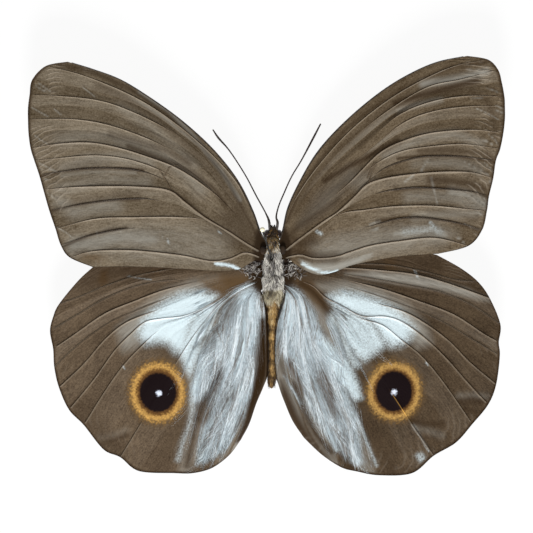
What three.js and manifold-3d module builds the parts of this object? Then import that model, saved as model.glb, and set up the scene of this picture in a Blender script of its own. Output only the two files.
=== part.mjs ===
// Spread and pinned butterfly, lying flat with its upper side up.
// Millimetres. X runs along the wings, +Y towards the head, +Z up from the surface that it lies on.
import * as THREE from "three";
import Module from "manifold-3d";

const wasm = await Module();
wasm.setup();

// Wing sheets
const wingThickness = 0.2;
const wingEdgeThickness = 0.12;
const wingRootThickness = 0.45;
const forewingRootHeight = 5.6;
const hindwingRootHeight = 4.7;
const forewingSlope = 0.03; // height gained for each millimetre away from the body
const hindwingSlope = 0.022;
const columnsAlongWing = 12;
const stepsBetweenLines = 2;

// Body
const thoraxSides = 18;
const abdomenSides = 16;
const headSides = 14;
const smallestDetail = 0.004; // slivers thinner than this are taken out of every piece
const bodyMiddle = 0.3; // the body lies a little to the right of the wings' middle

// Pin
const pinDiameter = 0.4;
const pinHeadDiameter = 0.9;
const pinAboveFur = 11.5;
const pinClearance = 0.03;
const pinEntry = [-0.1, 1.7, 7.2]; // where the shaft goes into the fur
const pinLean = [-0.14, 0.445, 1]; // direction of the shaft from its point to its head
const pinPointHeight = 0.35;

// Antennae and legs
const antennaDiameter = 0.26;
const antennaClubDiameter = 0.36;
const limbSides = 6;

// Wing lines. Each runs from the wing's root to its outer edge, the first along the front edge and
// the last along the inner edge. A line that rises is a vein or a ridge, one that sinks is a pleat.
const leftForewing = {
  rootFront: [-0.9, 4.3],
  rootBack: [-1.2, 1.1],
  lines: [
    {
      name: "costa",
      rise: 0.15,
      path: [
        [-2, 6.1], [-3.5, 10.2], [-6.3, 15.9], [-10.7, 21.6], [-16.7, 27.2],
        [-23, 31.8], [-28.6, 35.2], [-33.9, 37.2], [-38.5, 38.6],
      ],
    },
    {
      name: "subcosta",
      rise: 0.3,
      path: [
        [-3.7, 9.6], [-6, 14.9], [-9.7, 19.5], [-17.3, 26.3],
        [-24.9, 31.4], [-35.3, 35.9], [-42.6, 37.8],
      ],
    },
    {
      name: "fold1",
      rise: -0.2,
      path: [[-5.4, 12.5], [-11.1, 19.7], [-17.3, 25.1], [-24.9, 30.1], [-36.2, 33.7], [-45.3, 35.2]],
    },
    {
      name: "radius1",
      rise: 0.25,
      path: [
        [-5.4, 11], [-7.5, 13.4], [-12.2, 19.7], [-17.3, 24.2],
        [-23, 27.6], [-31.5, 31], [-40, 32.1], [-45.9, 32.3],
      ],
    },
    {
      name: "fold2",
      rise: -0.2,
      path: [[-7.5, 12.5], [-13.5, 19.7], [-18.2, 23.3], [-25.8, 27.2], [-36.2, 30.1], [-46, 29.9]],
    },
    {
      name: "radius2",
      rise: 0.25,
      path: [
        [-7.8, 12.1], [-12.6, 18], [-20.1, 22.5], [-25.8, 25],
        [-31.5, 26.8], [-37.2, 27.7], [-46, 27.7],
      ],
    },
    {
      name: "fold3",
      rise: -0.2,
      path: [
        [-8.2, 11.3], [-13.5, 16.6], [-21.1, 21.6], [-26.8, 23.6],
        [-32.4, 25.3], [-40, 25.7], [-45.9, 25],
      ],
    },
    {
      name: "radius3",
      rise: 0.3,
      path: [
        [-6, 8.7], [-9.7, 12.7], [-17.3, 18.2], [-23.9, 20.8],
        [-29.6, 22.5], [-34.3, 23.3], [-40, 23.1], [-45.5, 22.2],
      ],
    },
    {
      name: "media2",
      rise: 0.12,
      path: [
        [-6.3, 7.9], [-12.6, 13.4], [-21.3, 18.2], [-27.7, 20.3],
        [-33.4, 20.9], [-40, 20.4], [-44.8, 19.9],
      ],
    },
    {
      name: "fold4",
      rise: -0.22,
      path: [[-6.7, 7.2], [-14.5, 12.9], [-23.4, 17.6], [-29.6, 18.5], [-35.3, 18.4], [-43.8, 17.2]],
    },
    {
      name: "cubitus1",
      rise: 0.3,
      path: [
        [-4.8, 4.3], [-7.8, 6.3], [-12.8, 9.3], [-16.4, 12.1],
        [-19.2, 14.2], [-25.8, 15], [-37.2, 14.9], [-43.1, 14.4],
      ],
    },
    {
      name: "fold5",
      rise: -0.22,
      path: [
        [-5, 4.1], [-8, 6.1], [-13.1, 9], [-17.7, 11.5],
        [-23.9, 12.7], [-32.4, 12.2], [-42, 10.5],
      ],
    },
    {
      name: "cubitus2",
      rise: 0.25,
      path: [
        [-5.2, 3.8], [-8.2, 5.8], [-13, 8.7], [-17.3, 9.2],
        [-25.8, 9.2], [-33.4, 8.9], [-40.8, 7],
      ],
    },
    {
      name: "fold6",
      rise: -0.22,
      path: [[-6, 3.2], [-8.6, 4.3], [-13.5, 6.1], [-24.9, 7.2], [-33.4, 6], [-39.8, 3.9]],
    },
    {
      name: "anal",
      rise: 0.25,
      path: [
        [-5, 2.5], [-7.8, 1.4], [-11.1, 0.9], [-16.4, 1.9],
        [-22, 2.6], [-27.7, 3], [-34.3, 2.7], [-38.1, 1.6],
      ],
    },
    {
      name: "innerMargin",
      rise: 0.1,
      path: [
        [-2.9, 1.1], [-4.3, 0.4], [-6, -0.6], [-10.7, -0.9],
        [-17.3, -0.5], [-23, -0.2], [-28.6, -0.1], [-33.8, -0.2],
      ],
    },
  ],
};

const rightForewing = {
  rootFront: [1.4, 4.3],
  rootBack: [1.6, 1.1],
  lines: [
    {
      name: "costa",
      rise: 0.15,
      path: [
        [2.2, 6.8], [3.1, 10.8], [5.4, 15.9], [8.8, 21.6], [13.9, 27.2],
        [20.7, 32.9], [26.2, 36.3], [31.3, 38.5], [37, 39.7],
      ],
    },
    {
      name: "subcosta",
      rise: 0.28,
      path: [
        [3.7, 11], [6, 15.1], [9.7, 20], [15.2, 25.9],
        [22.4, 31.6], [29, 35.4], [34.7, 37.8], [40.7, 39],
      ],
    },
    {
      name: "radius1",
      rise: 0.22,
      path: [
        [4.1, 10.8], [6.5, 14.6], [10.5, 19.3], [16.2, 24.8],
        [23.4, 30.3], [30, 34], [35.6, 35.2], [42.8, 37.1],
      ],
    },
    {
      name: "fold1",
      rise: -0.32,
      path: [
        [4.4, 10.4], [6.9, 13.8], [11.1, 18.5], [16.9, 23.8],
        [23.9, 29.3], [30, 32.3], [36.6, 33.8], [43.4, 34.8],
      ],
    },
    {
      name: "radius2",
      rise: 0.24,
      path: [
        [4.8, 10], [7.5, 13.2], [11.6, 17.8], [17.7, 22.9],
        [23.9, 28.4], [30, 31], [36.6, 32.1], [44, 32],
      ],
    },
    {
      name: "radius3",
      rise: 0.2,
      path: [
        [5.4, 9.6], [8, 12.5], [12.4, 17], [18.6, 22.1],
        [25.2, 27.2], [30.9, 29.3], [38.5, 30.2], [44.1, 30.1],
      ],
    },
    {
      name: "fold2",
      rise: -0.2,
      path: [
        [6, 9.3], [8.8, 11.9], [13.5, 16.3], [21.5, 23.4],
        [27.1, 26.3], [31.9, 27.5], [38.5, 27.8], [44.1, 27.8],
      ],
    },
    {
      name: "radius4",
      rise: 0.3,
      path: [
        [6.5, 8.9], [9.5, 11.3], [14.5, 15.5], [20.5, 21.4],
        [24.3, 23.4], [30, 25.1], [38.5, 25.7], [43.8, 25.1],
      ],
    },
    {
      name: "media2",
      rise: 0.12,
      path: [
        [6.9, 8.3], [10.1, 10.8], [15, 14.7], [19.8, 19.3],
        [24.3, 21.6], [30, 22.6], [36.6, 23], [43.2, 22.1],
      ],
    },
    {
      name: "fold3",
      rise: -0.22,
      path: [
        [7.1, 7.6], [10.7, 10], [15.6, 14.2], [21.5, 18.5],
        [25.8, 20.1], [29, 20.7], [35.6, 20.7], [42.4, 19.9],
      ],
    },
    {
      name: "cubitus1",
      rise: 0.3,
      path: [
        [6.1, 5.7], [10.1, 8.6], [12.4, 10.1], [15.8, 13.2],
        [18.4, 15.6], [27.1, 17.4], [37.5, 17.7], [41.9, 16.6],
      ],
    },
    {
      name: "fold4",
      rise: -0.22,
      path: [
        [6.3, 5.4], [10.3, 8.3], [13.3, 10.4], [19, 13.4],
        [25.2, 14.7], [29, 14.8], [37.9, 14], [41.1, 13.2],
      ],
    },
    {
      name: "cubitus2",
      rise: 0.25,
      path: [
        [6.5, 5.1], [10.3, 7.8], [13.3, 9.9], [17.7, 10.6],
        [22.4, 11.2], [30, 11.4], [36.6, 10.8], [40.7, 10.4],
      ],
    },
    {
      name: "fold5",
      rise: -0.24,
      path: [[7.3, 4.3], [12, 6.1], [18.1, 7.4], [24.3, 9], [29, 9.1], [36.6, 7.8], [39.8, 6.8]],
    },
    {
      name: "anal",
      rise: 0.25,
      path: [
        [5.4, 2.1], [7.8, 1.5], [12, 1.7], [14.8, 2.6],
        [18.6, 3.8], [24.3, 4.7], [30.9, 5.3], [36.8, 3.9],
      ],
    },
    {
      name: "innerMargin",
      rise: 0.1,
      path: [
        [3.1, 1.3], [4.4, 0.4], [6.3, -0.8], [8.8, -1.7], [12, -1.1],
        [14.8, 0], [21.5, 1.4], [26.2, 2], [31.5, 2.3],
      ],
    },
  ],
};

const leftHindwing = {
  rootFront: [-1, -0.2],
  rootBack: [-0.9, -3.4],
  lines: [
    {
      name: "costa",
      rise: 0.0,
      path: [[-3.7, 0.6], [-8.8, 2.3], [-18.2, 3], [-27.7, 1.7], [-33.8, -0.2]],
    },
    { name: "fold1", rise: -0.1, path: [[-8.8, 1.1], [-18.2, 0.9], [-27.7, -0.4], [-36.8, -2.8]] },
    {
      name: "subcosta",
      rise: -0.15,
      path: [[-8.8, 0.2], [-17.3, -0.4], [-24.9, -1.7], [-31.5, -3.8], [-35.8, -5.6], [-40.2, -7.2]],
    },
    {
      name: "fold2",
      rise: 0.12,
      path: [[-8.8, -0.4], [-17.3, -1.3], [-24.9, -2.8], [-31.5, -5.1], [-37.2, -7.6], [-41.3, -9.6]],
    },
    {
      name: "radius",
      rise: -0.12,
      path: [
        [-8.8, -1.1], [-17.3, -2.5], [-22, -3], [-26.8, -4.2],
        [-31.5, -6.2], [-36.2, -8.9], [-41.9, -12.3],
      ],
    },
    {
      name: "sector",
      rise: 0.28,
      path: [
        [-8.8, -1.9], [-15.4, -3.3], [-20.5, -4.6], [-25.8, -6.6],
        [-31.5, -9], [-37.2, -12.9], [-41.3, -15.7],
      ],
    },
    {
      name: "media1",
      rise: -0.2,
      path: [
        [-8.8, -2.6], [-14.8, -4.1], [-20.1, -6.2], [-25.8, -8.5],
        [-30.5, -10.6], [-36.2, -14.6], [-41.1, -19.1],
      ],
    },
    {
      name: "media2",
      rise: 0.25,
      path: [
        [-8.8, -3.6], [-13.5, -5.1], [-20.1, -7.8], [-27.7, -10.8],
        [-31.5, -13.9], [-35.3, -18.3], [-40.1, -22.9],
      ],
    },
    {
      name: "media3",
      rise: -0.2,
      path: [
        [-7.5, -4.3], [-9.7, -6.1], [-16, -9.3], [-21.1, -10], [-23.9, -10.6],
        [-26.8, -13], [-29.6, -15.9], [-33.4, -21.2], [-38.3, -27.2],
      ],
    },
    {
      name: "cubitus1",
      rise: 0.25,
      path: [
        [-7.3, -4.6], [-9.5, -6.3], [-15.8, -9.6], [-20.1, -11.3],
        [-24.3, -14.9], [-28.1, -18.9], [-31.7, -24], [-35.3, -29.7],
      ],
    },
    {
      name: "fold3",
      rise: -0.1,
      path: [
        [-7.1, -4.9], [-9.4, -6.6], [-14.8, -10.2], [-18.1, -12.9],
        [-21.1, -17], [-24.9, -22.3], [-28.3, -28.2], [-31.7, -34.6],
      ],
    },
    {
      name: "cubitus2",
      rise: 0.12,
      path: [
        [-6.9, -5.2], [-9.2, -7], [-13, -11], [-16.5, -15.9],
        [-20.5, -22.5], [-24.9, -30.1], [-28.5, -36.1],
      ],
    },
    {
      name: "fold5",
      rise: -0.08,
      path: [
        [-6.7, -5.1], [-9.2, -7.3], [-12, -11.2], [-14.7, -16.3],
        [-16.9, -22.5], [-19.6, -30.1], [-25.1, -38.8],
      ],
    },
    {
      name: "anal1",
      rise: 0.2,
      path: [
        [-6.5, -5.3], [-9.2, -7.6], [-10.9, -10.4], [-12.4, -14.4],
        [-13.9, -18.2], [-14.5, -23.1], [-15.6, -30.4], [-18.4, -39.1],
      ],
    },
    {
      name: "anal2",
      rise: -0.2,
      path: [
        [-4.6, -5.9], [-6.1, -10.2], [-7.3, -14.9], [-8.8, -19.1],
        [-10.9, -23.8], [-12.8, -29.1], [-14.7, -38.9],
      ],
    },
    {
      name: "fold4",
      rise: 0.15,
      path: [[-3.9, -5.9], [-4.4, -11.2], [-5.4, -17.8], [-6.7, -24], [-8.8, -31], [-11.2, -38.2]],
    },
    {
      name: "anal3",
      rise: -0.1,
      path: [[-2.9, -6.4], [-2.6, -13], [-3.1, -19.7], [-4.1, -25.3], [-5.6, -30.6], [-7.8, -35.4]],
    },
    {
      name: "innerMargin",
      rise: -1.2,
      path: [
        [-2.1, -4.5], [-1.6, -6.4], [-1.1, -11.2], [-1, -16.8],
        [-1.2, -21.7], [-2.9, -26.1], [-4.3, -30.1], [-5.8, -32.9],
      ],
    },
  ],
};

const rightHindwing = {
  rootFront: [1.4, 0],
  rootBack: [1.2, -3.4],
  lines: [
    { name: "costa", rise: 0.0, path: [[3.7, 0.4], [8.2, 1.9], [16.7, 3.4], [24.3, 3.4], [31.3, 2.1]] },
    { name: "fold1", rise: -0.1, path: [[8.8, 0.9], [17.7, 1.7], [25.2, 0.9], [30, -0.4], [36, -0.4]] },
    {
      name: "subcosta",
      rise: -0.1,
      path: [[9, 0.4], [14.8, 0.4], [22.4, 0.2], [29, -1.1], [34.7, -2.6], [39, -3]],
    },
    {
      name: "fold2",
      rise: 0.25,
      path: [[9.2, -0.2], [14.8, -0.4], [21.5, -0.9], [27.1, -1.6], [32.8, -3.1], [40.9, -6.2]],
    },
    {
      name: "radius",
      rise: -0.2,
      path: [
        [9.2, -0.9], [14.8, -1.7], [21.5, -2.8], [26.2, -3.7],
        [31.9, -4.9], [37.5, -7.2], [43, -10.8],
      ],
    },
    {
      name: "sector",
      rise: 0.28,
      path: [
        [9.2, -1.7], [14.8, -2.8], [21.5, -4.5], [27.1, -6.4],
        [34.7, -9.3], [40.4, -13], [43, -14.4],
      ],
    },
    {
      name: "media1",
      rise: -0.18,
      path: [
        [9.2, -2.5], [14.8, -4], [21.5, -6.1], [27.1, -8.2],
        [32.8, -10.8], [37.5, -13.6], [43.2, -17],
      ],
    },
    {
      name: "media2",
      rise: 0.25,
      path: [
        [9.2, -3.2], [13.9, -5.3], [19.6, -7], [25.2, -8.7],
        [29, -10.8], [33.8, -14.4], [37.5, -18.2], [42.4, -22.3],
      ],
    },
    {
      name: "media3",
      rise: -0.2,
      path: [
        [7.8, -3.8], [10.1, -5.9], [13, -7.4], [17.1, -9.5], [21.5, -9.6],
        [24.3, -10.4], [28.5, -13.2], [32.8, -17.2], [37.5, -22.5], [40.9, -26.1],
      ],
    },
    {
      name: "cubitus1",
      rise: 0.25,
      path: [
        [7.7, -4.1], [9.9, -6.1], [12.8, -7.8], [16.9, -9.9], [21.1, -11.3],
        [24.3, -13.8], [28.1, -16.8], [31.9, -21.2], [37.9, -29.7],
      ],
    },
    {
      name: "fold3",
      rise: -0.15,
      path: [
        [7.5, -4.3], [9.7, -6.5], [12.6, -8.2], [16.4, -10.4], [18.8, -12.7],
        [21.8, -16.3], [26.2, -21], [30, -25.7], [34.7, -33.1],
      ],
    },
    {
      name: "cubitus2",
      rise: 0.2,
      path: [
        [7.3, -4.6], [9.5, -6.9], [12.6, -9.5], [15.8, -13.4],
        [19.4, -18.9], [24.7, -27], [27.1, -30.8], [30.2, -35.4],
      ],
    },
    {
      name: "fold5",
      rise: -0.08,
      path: [
        [7.3, -4.8], [9.5, -7.1], [12, -9.8], [14.8, -14.4],
        [17.5, -19.7], [20.1, -25.3], [22.8, -32], [26, -39.3],
      ],
    },
    {
      name: "anal1",
      rise: 0.15,
      path: [
        [7.1, -4.9], [9.5, -7.4], [11.2, -9.3], [12.6, -12.1], [13.9, -15.9],
        [15.2, -20], [15.6, -24.4], [16.4, -28.7], [20.3, -39.3],
      ],
    },
    {
      name: "anal2",
      rise: -0.2,
      path: [
        [5.4, -5.3], [6.9, -9.8], [8.2, -14.9], [10.1, -19.7],
        [12, -23.8], [14.1, -28.4], [16.2, -38.9],
      ],
    },
    {
      name: "fold4",
      rise: 0.2,
      path: [
        [4.4, -5.7], [5.2, -10.2], [5.8, -15.9], [6.9, -20.6],
        [8.8, -25.7], [10.5, -30.6], [13.1, -37.8],
      ],
    },
    {
      name: "anal3",
      rise: -0.25,
      path: [
        [3.5, -6.1], [3.1, -11.2], [2.9, -16.8], [3.7, -22.5],
        [5.2, -26.8], [6.7, -31], [9.5, -35.7],
      ],
    },
    {
      name: "innerMargin",
      rise: -0.9,
      path: [
        [2.7, -4.7], [2.4, -7.2], [1.4, -10.6], [0.9, -14.9], [0.9, -19.3],
        [1.4, -22.7], [2.6, -26.1], [4.1, -29.5], [6, -32.3],
      ],
    },
  ],
};
// Stations along the body: y, middle x, half width, lowest z, highest z.
const thoraxStations = [
  [5.7, bodyMiddle, 0.7, 3.6, 5.9],
  [5.1, bodyMiddle, 1.4, 2.4, 6.6],
  [3.6, bodyMiddle, 1.95, 1, 7.2],
  [1.7, bodyMiddle, 2.35, -0.2, 7.5],
  [-0.3, bodyMiddle, 2.5, -0.35, 7.5],
  [-2.4, bodyMiddle, 2.4, -0.3, 7.2],
  [-4.2, bodyMiddle, 2.05, 0.6, 6.7],
  [-5.5, bodyMiddle, 1.5, 1.7, 6.2],
  [-6.3, bodyMiddle, 0.8, 2.6, 5.4],
];
const headStations = [
  [7.4, bodyMiddle, 0.55, 3.6, 4.9],
  [7, bodyMiddle, 0.95, 3.1, 5.4],
  [6.2, bodyMiddle, 1.25, 2.8, 5.9],
  [5.4, bodyMiddle, 1.2, 2.9, 5.9],
  [4.6, bodyMiddle, 0.9, 3.3, 5.5],
];
const abdomenStations = [
  [-5, 0.35, 1.1, 2.2, 5.4],
  [-7.2, 0.32, 1.2, 1.7, 5.6],
  [-9.3, 0.28, 1.05, 1.5, 5.4],
  [-12, 0.15, 0.9, 1.3, 5.1],
  [-15, 0, 0.8, 1.2, 4.8],
  [-18, 0, 0.8, 1.1, 4.4],
  [-20.4, 0.02, 0.88, 1.1, 4],
  [-22, 0.03, 0.72, 1.4, 3.5],
  [-22.8, 0.03, 0.35, 1.9, 3],
];

// Routes from the body to the free end: x, y, z and radius.
const antennaRoutes = {
  left: [
    [-0.3, 6.9, 5.1, 0.2],
    [-0.55, 8.9, 5.7, 0.18],
    [-1.8, 11, 5.9, antennaDiameter / 2],
    [-3.1, 13.3, 6, antennaDiameter / 2],
    [-5, 17, 6.1, antennaDiameter / 2],
    [-8.2, 21.9, 6.2, antennaDiameter / 2],
    [-10.1, 24.3, 6.2, antennaClubDiameter / 2],
    [-11.1, 25.8, 6.2, 0.12],
  ],
  right: [
    [1, 6.9, 5.1, 0.2],
    [1.2, 8.3, 5.6, 0.2],
    [0.72, 9.1, 5.8, 0.17],
    [1.2, 11.3, 5.9, antennaDiameter / 2],
    [2, 13.6, 6, antennaDiameter / 2],
    [3.5, 17, 6.1, antennaDiameter / 2],
    [5.4, 20, 6.2, antennaDiameter / 2],
    [7.9, 24.2, 6.2, antennaClubDiameter / 2],
    [9.2, 26.7, 6.2, 0.12],
  ],
};
const palpRoute = [
  [0.62, 6.8, 3.9, 0.26],
  [0.64, 7.5, 4.2, 0.24],
  [0.54, 8, 4.9, 0.1],
];
const legRoutes = {
  middle: [
    [1, 1.3, 1.2, 0.42],
    [3.3, 2.6, 2.4, 0.34],
    [3, -0.4, 0.5, 0.24],
    [3.5, -3.4, 0.15, 0.15],
  ],
  hind: [
    [0.9, -1.7, 1.1, 0.42],
    [3.1, -3.6, 2.2, 0.34],
    [2.2, -6.4, 0.45, 0.24],
    [2.6, -9.6, 0.15, 0.15],
  ],
};

// Eyes and the scales over the forewings' roots: centre and half sizes, for the right side.
const eyeCentre = [1.38, 6.05, 4.28];
const eyeHalfSize = [0.72, 0.86, 0.96];
const tegulaCentre = [2.15, 3, 6.15];
const tegulaHalfSize = [0.6, 0.85, 0.32];

// Solid from corner points and triangles, turned so that its faces point outwards.
function solidFrom(points, triangles) {
  const volume = triangles.reduce((sum, [a, b, c]) => {
    const side = new THREE.Vector3().crossVectors(points[b], points[c]);
    return sum + points[a].dot(side);
  }, 0);
  const outward = volume > 0 ? triangles : triangles.map(([a, b, c]) => [a, c, b]);
  const mesh = new wasm.Mesh({
    numProp: 3,
    vertProperties: new Float32Array(points.flatMap((point) => point.toArray())),
    triVerts: new Uint32Array(outward.flat()),
  });
  return new wasm.Manifold(mesh);
}

// Two triangles between four points of a grid that is stored row after row.
function gridQuad(first, rowLength) {
  const next = first + rowLength;
  return [
    [first, next, next + 1],
    [first, next + 1, first + 1],
  ];
}

// Rings of points joined into one closed solid, with a fan over each end.
function ringSolid(rings) {
  const sides = rings[0].length;
  const points = rings.flat();
  const triangles = [];
  for (let ring = 0; ring < rings.length - 1; ring += 1) {
    for (let side = 0; side < sides; side += 1) {
      const here = ring * sides + side;
      const beside = ring * sides + ((side + 1) % sides);
      triangles.push([here, here + sides, beside + sides], [here, beside + sides, beside]);
    }
  }
  const middleOf = (ring) =>
    ring.reduce((sum, point) => sum.add(point), new THREE.Vector3()).divideScalar(sides);
  const lastRing = (rings.length - 1) * sides;
  points.push(middleOf(rings[0]), middleOf(rings[rings.length - 1]));
  for (let side = 0; side < sides; side += 1) {
    const beside = (side + 1) % sides;
    triangles.push([points.length - 2, side, beside]);
    triangles.push([points.length - 1, lastRing + beside, lastRing + side]);
  }
  return solidFrom(points, triangles);
}

// A body of oval sections that stand across the Y axis.
function bodySolid(stations, sides) {
  return ringSolid(
    stations.map(([y, middleX, halfWidth, lowZ, highZ]) =>
      Array.from({ length: sides }, (_, side) => {
        const angle = (2 * Math.PI * side) / sides;
        return new THREE.Vector3(
          middleX + halfWidth * Math.cos(angle),
          y,
          (lowZ + highZ) / 2 + ((highZ - lowZ) / 2) * Math.sin(angle),
        );
      }),
    ),
  );
}

// A tapering rod with round sections, square to a route of [x, y, z, radius] points.
// Each section is turned as little as possible from the one before, so that the rod has no twist.
function rodSolid(route, sides) {
  const centres = route.map(([x, y, z]) => new THREE.Vector3(x, y, z));
  const across = new THREE.Vector3(1, 0.2, 0.1);
  const rings = centres.map((centre, index) => {
    const before = centres[Math.max(index - 1, 0)];
    const after = centres[Math.min(index + 1, centres.length - 1)];
    const along = new THREE.Vector3().subVectors(after, before).normalize();
    across.addScaledVector(along, -across.dot(along)).normalize();
    const third = new THREE.Vector3().crossVectors(along, across);
    return Array.from({ length: sides }, (_, side) => {
      const angle = (2 * Math.PI * side) / sides;
      const radius = route[index][3];
      return centre
        .clone()
        .addScaledVector(across, radius * Math.cos(angle))
        .addScaledVector(third, radius * Math.sin(angle));
    });
  });
  return ringSolid(rings);
}

function ellipsoidSolid([x, y, z], halfSize, segments) {
  return wasm.Manifold.sphere(1, segments).scale(halfSize).translate([x, y, z]);
}

// Points at equal steps along each line of a wing, from the root segment to the outer edge.
function wingLinePoints(wing) {
  const front = new THREE.Vector3(...wing.rootFront, 0);
  const back = new THREE.Vector3(...wing.rootBack, 0);
  return wing.lines.map((line, index) => {
    const root = front.clone().lerp(back, index / (wing.lines.length - 1));
    const outward = line.path.map(([x, y]) => new THREE.Vector3(x, y, 0));
    return new THREE.CatmullRomCurve3([root, ...outward], false, "centripetal")
      .getSpacedPoints(columnsAlongWing);
  });
}

// Smooth curve through four values in a row, taken between the middle two.
function smoothBetween(a, b, c, d, t) {
  const bend = 2 * a - 5 * b + 4 * c - d + t * (3 * b - a - 3 * c + d);
  return b + 0.5 * t * (c - a + t * bend);
}

// Thin closed sheet over a wing's lines. Pleats and ridges grow from nothing at the root.
function wingSolid(wing, rootHeight, slope) {
  const lines = wingLinePoints(wing);
  const last = lines.length - 1;
  const rows = [];
  for (let step = 0; step <= last * stepsBetweenLines; step += 1) {
    const index = Math.min(Math.floor(step / stepsBetweenLines), last - 1);
    const t = step / stepsBetweenLines - index;
    const near = [index - 1, index, index + 1, index + 2].map((n) => Math.min(Math.max(n, 0), last));
    const rise = THREE.MathUtils.lerp(wing.lines[index].rise, wing.lines[index + 1].rise, t);
    rows.push(
      lines[index].map((_, column) => {
        const along = column / columnsAlongWing;
        const [x, y] = ["x", "y"].map((axis) =>
          smoothBetween(...near.map((n) => lines[n][column][axis]), t),
        );
        const growth = THREE.MathUtils.smoothstep(along, 0.05, 0.45);
        return new THREE.Vector3(x, y, rootHeight + slope * Math.abs(x) + rise * growth);
      }),
    );
  }
  const thicknessAt = (row, column) => {
    const along = column / columnsAlongWing;
    const onEdge = column === columnsAlongWing || row === 0 || row === rows.length - 1;
    const plain = onEdge ? wingEdgeThickness : wingThickness;
    return THREE.MathUtils.lerp(wingRootThickness, plain, Math.min(along * 4, 1));
  };
  const upper = rows.flat();
  const lower = rows.flatMap((row, r) =>
    row.map((point, c) => point.clone().setZ(point.z - thicknessAt(r, c))),
  );
  return sheetSolid(upper, lower, rows.length, columnsAlongWing + 1);
}

// Upper and lower grids of a sheet, closed by a wall round their edge.
function sheetSolid(upper, lower, rowCount, rowLength) {
  const triangles = [];
  for (let row = 0; row < rowCount - 1; row += 1) {
    for (let column = 0; column < rowLength - 1; column += 1) {
      const quad = gridQuad(row * rowLength + column, rowLength);
      triangles.push(...quad);
      triangles.push(...quad.map(([a, b, c]) => [a, c, b].map((n) => n + upper.length)));
    }
  }
  const lastRow = (rowCount - 1) * rowLength;
  const rim = [];
  for (let column = 0; column < rowLength - 1; column += 1) rim.push(column);
  for (let row = 0; row < rowCount - 1; row += 1) rim.push((row + 1) * rowLength - 1);
  for (let column = rowLength - 1; column > 0; column -= 1) rim.push(lastRow + column);
  for (let row = rowCount - 1; row > 0; row -= 1) rim.push(row * rowLength);
  rim.forEach((here, index) => {
    const next = rim[(index + 1) % rim.length];
    triangles.push([here, next, next + upper.length], [here, next + upper.length, here + upper.length]);
  });
  return solidFrom([...upper, ...lower], triangles);
}

// A solid cut back where it meets others, without any crumbs that the cut leaves.
function cutBack(solid, ...others) {
  const pieces = others.reduce((rest, other) => rest.subtract(other), solid).decompose();
  return pieces.reduce((best, piece) => (piece.volume() > best.volume() ? piece : best));
}

function mirrored(route) {
  return route.map(([x, ...rest]) => [2 * bodyMiddle - x, ...rest]);
}

function pointOnPin(height) {
  const [x, y, z] = pinEntry;
  return [0, 1, 2].map((axis) => [x, y, z][axis] + pinLean[axis] * (height - z));
}

// Shaft from just inside the belly up to the head.
function pinRod(radius, lowZ, highZ) {
  return rodSolid([[...pointOnPin(lowZ), radius], [...pointOnPin(highZ), radius]], 12);
}

function pinHeadSolid() {
  const centre = pointOnPin(pinEntry[2] + pinAboveFur);
  return ellipsoidSolid(centre, [0.5, 0.5, 0.4].map((part) => part * pinHeadDiameter), 16);
}

// The thorax reaches to the tips of its fur, stands on a small flat belly and is bored for the pin.
function thoraxSolid() {
  const bore = pinRod(pinDiameter / 2 + pinClearance, -2, 12);
  return bodySolid(thoraxStations, thoraxSides).trimByPlane([0, 0, 1], 0).subtract(bore);
}

function material(colour, roughness, metalness = 0) {
  return new THREE.MeshStandardMaterial({ color: colour, roughness, metalness });
}

const group = new THREE.Group();

function addPart(name, solid, look) {
  const mesh = solid.simplify(smallestDetail).getMesh();
  const geometry = new THREE.BufferGeometry();
  geometry.setAttribute("position", new THREE.BufferAttribute(mesh.vertProperties, 3));
  geometry.setIndex(new THREE.BufferAttribute(mesh.triVerts, 1));
  const part = new THREE.Mesh(geometry, look());
  part.name = name;
  group.add(part);
}

const wingBrown = () => material("#655845", 0.75);
const furGrey = () => material("#8f8c84", 0.95);
const bodyOchre = () => material("#8a6a3c", 0.9);
const darkBrown = () => material("#241a14", 0.8);
const eyeBrown = () => material("#1a0d0a", 0.35);
const pinSteel = () => material("#1f1d1b", 0.35, 0.6);
const pinHeadCream = () => material("#f3eccb", 0.3);

const thorax = thoraxSolid();
const head = cutBack(bodySolid(headStations, headSides), thorax);
const pinHead = pinHeadSolid();
addPart("thorax", thorax, furGrey);
addPart("head", head, darkBrown);
addPart("abdomen", cutBack(bodySolid(abdomenStations, abdomenSides), thorax), bodyOchre);

const forewings = { left: leftForewing, right: rightForewing };
const hindwings = { left: leftHindwing, right: rightHindwing };
for (const side of ["left", "right"]) {
  const placed = (centre) => (side === "right" ? centre : mirrored([centre])[0]);
  const routed = (route) => (side === "right" ? route : mirrored(route));
  const forewingSheet = wingSolid(forewings[side], forewingRootHeight, forewingSlope);
  const forewing = cutBack(forewingSheet, thorax);
  const hindwing = wingSolid(hindwings[side], hindwingRootHeight, hindwingSlope);
  addPart(`forewing_${side}`, forewing, wingBrown);
  addPart(`hindwing_${side}`, cutBack(hindwing, thorax), wingBrown);
  const eye = ellipsoidSolid(placed(eyeCentre), eyeHalfSize, 16);
  addPart(`eye_${side}`, cutBack(eye, head, thorax), eyeBrown);
  const tegula = ellipsoidSolid(placed(tegulaCentre), tegulaHalfSize, 12);
  addPart(`tegula_${side}`, cutBack(tegula, thorax, forewing), furGrey);
  const palp = rodSolid(routed(palpRoute), limbSides);
  addPart(`palp_${side}`, cutBack(palp, head), furGrey);
  const antenna = rodSolid(antennaRoutes[side], limbSides);
  addPart(`antenna_${side}`, cutBack(antenna, head), darkBrown);
  for (const pair of ["middle", "hind"]) {
    const leg = rodSolid(routed(legRoutes[pair]), limbSides).trimByPlane([0, 0, 1], 0);
    addPart(`leg_${pair}_${side}`, cutBack(leg, thorax), darkBrown);
  }
}

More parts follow.
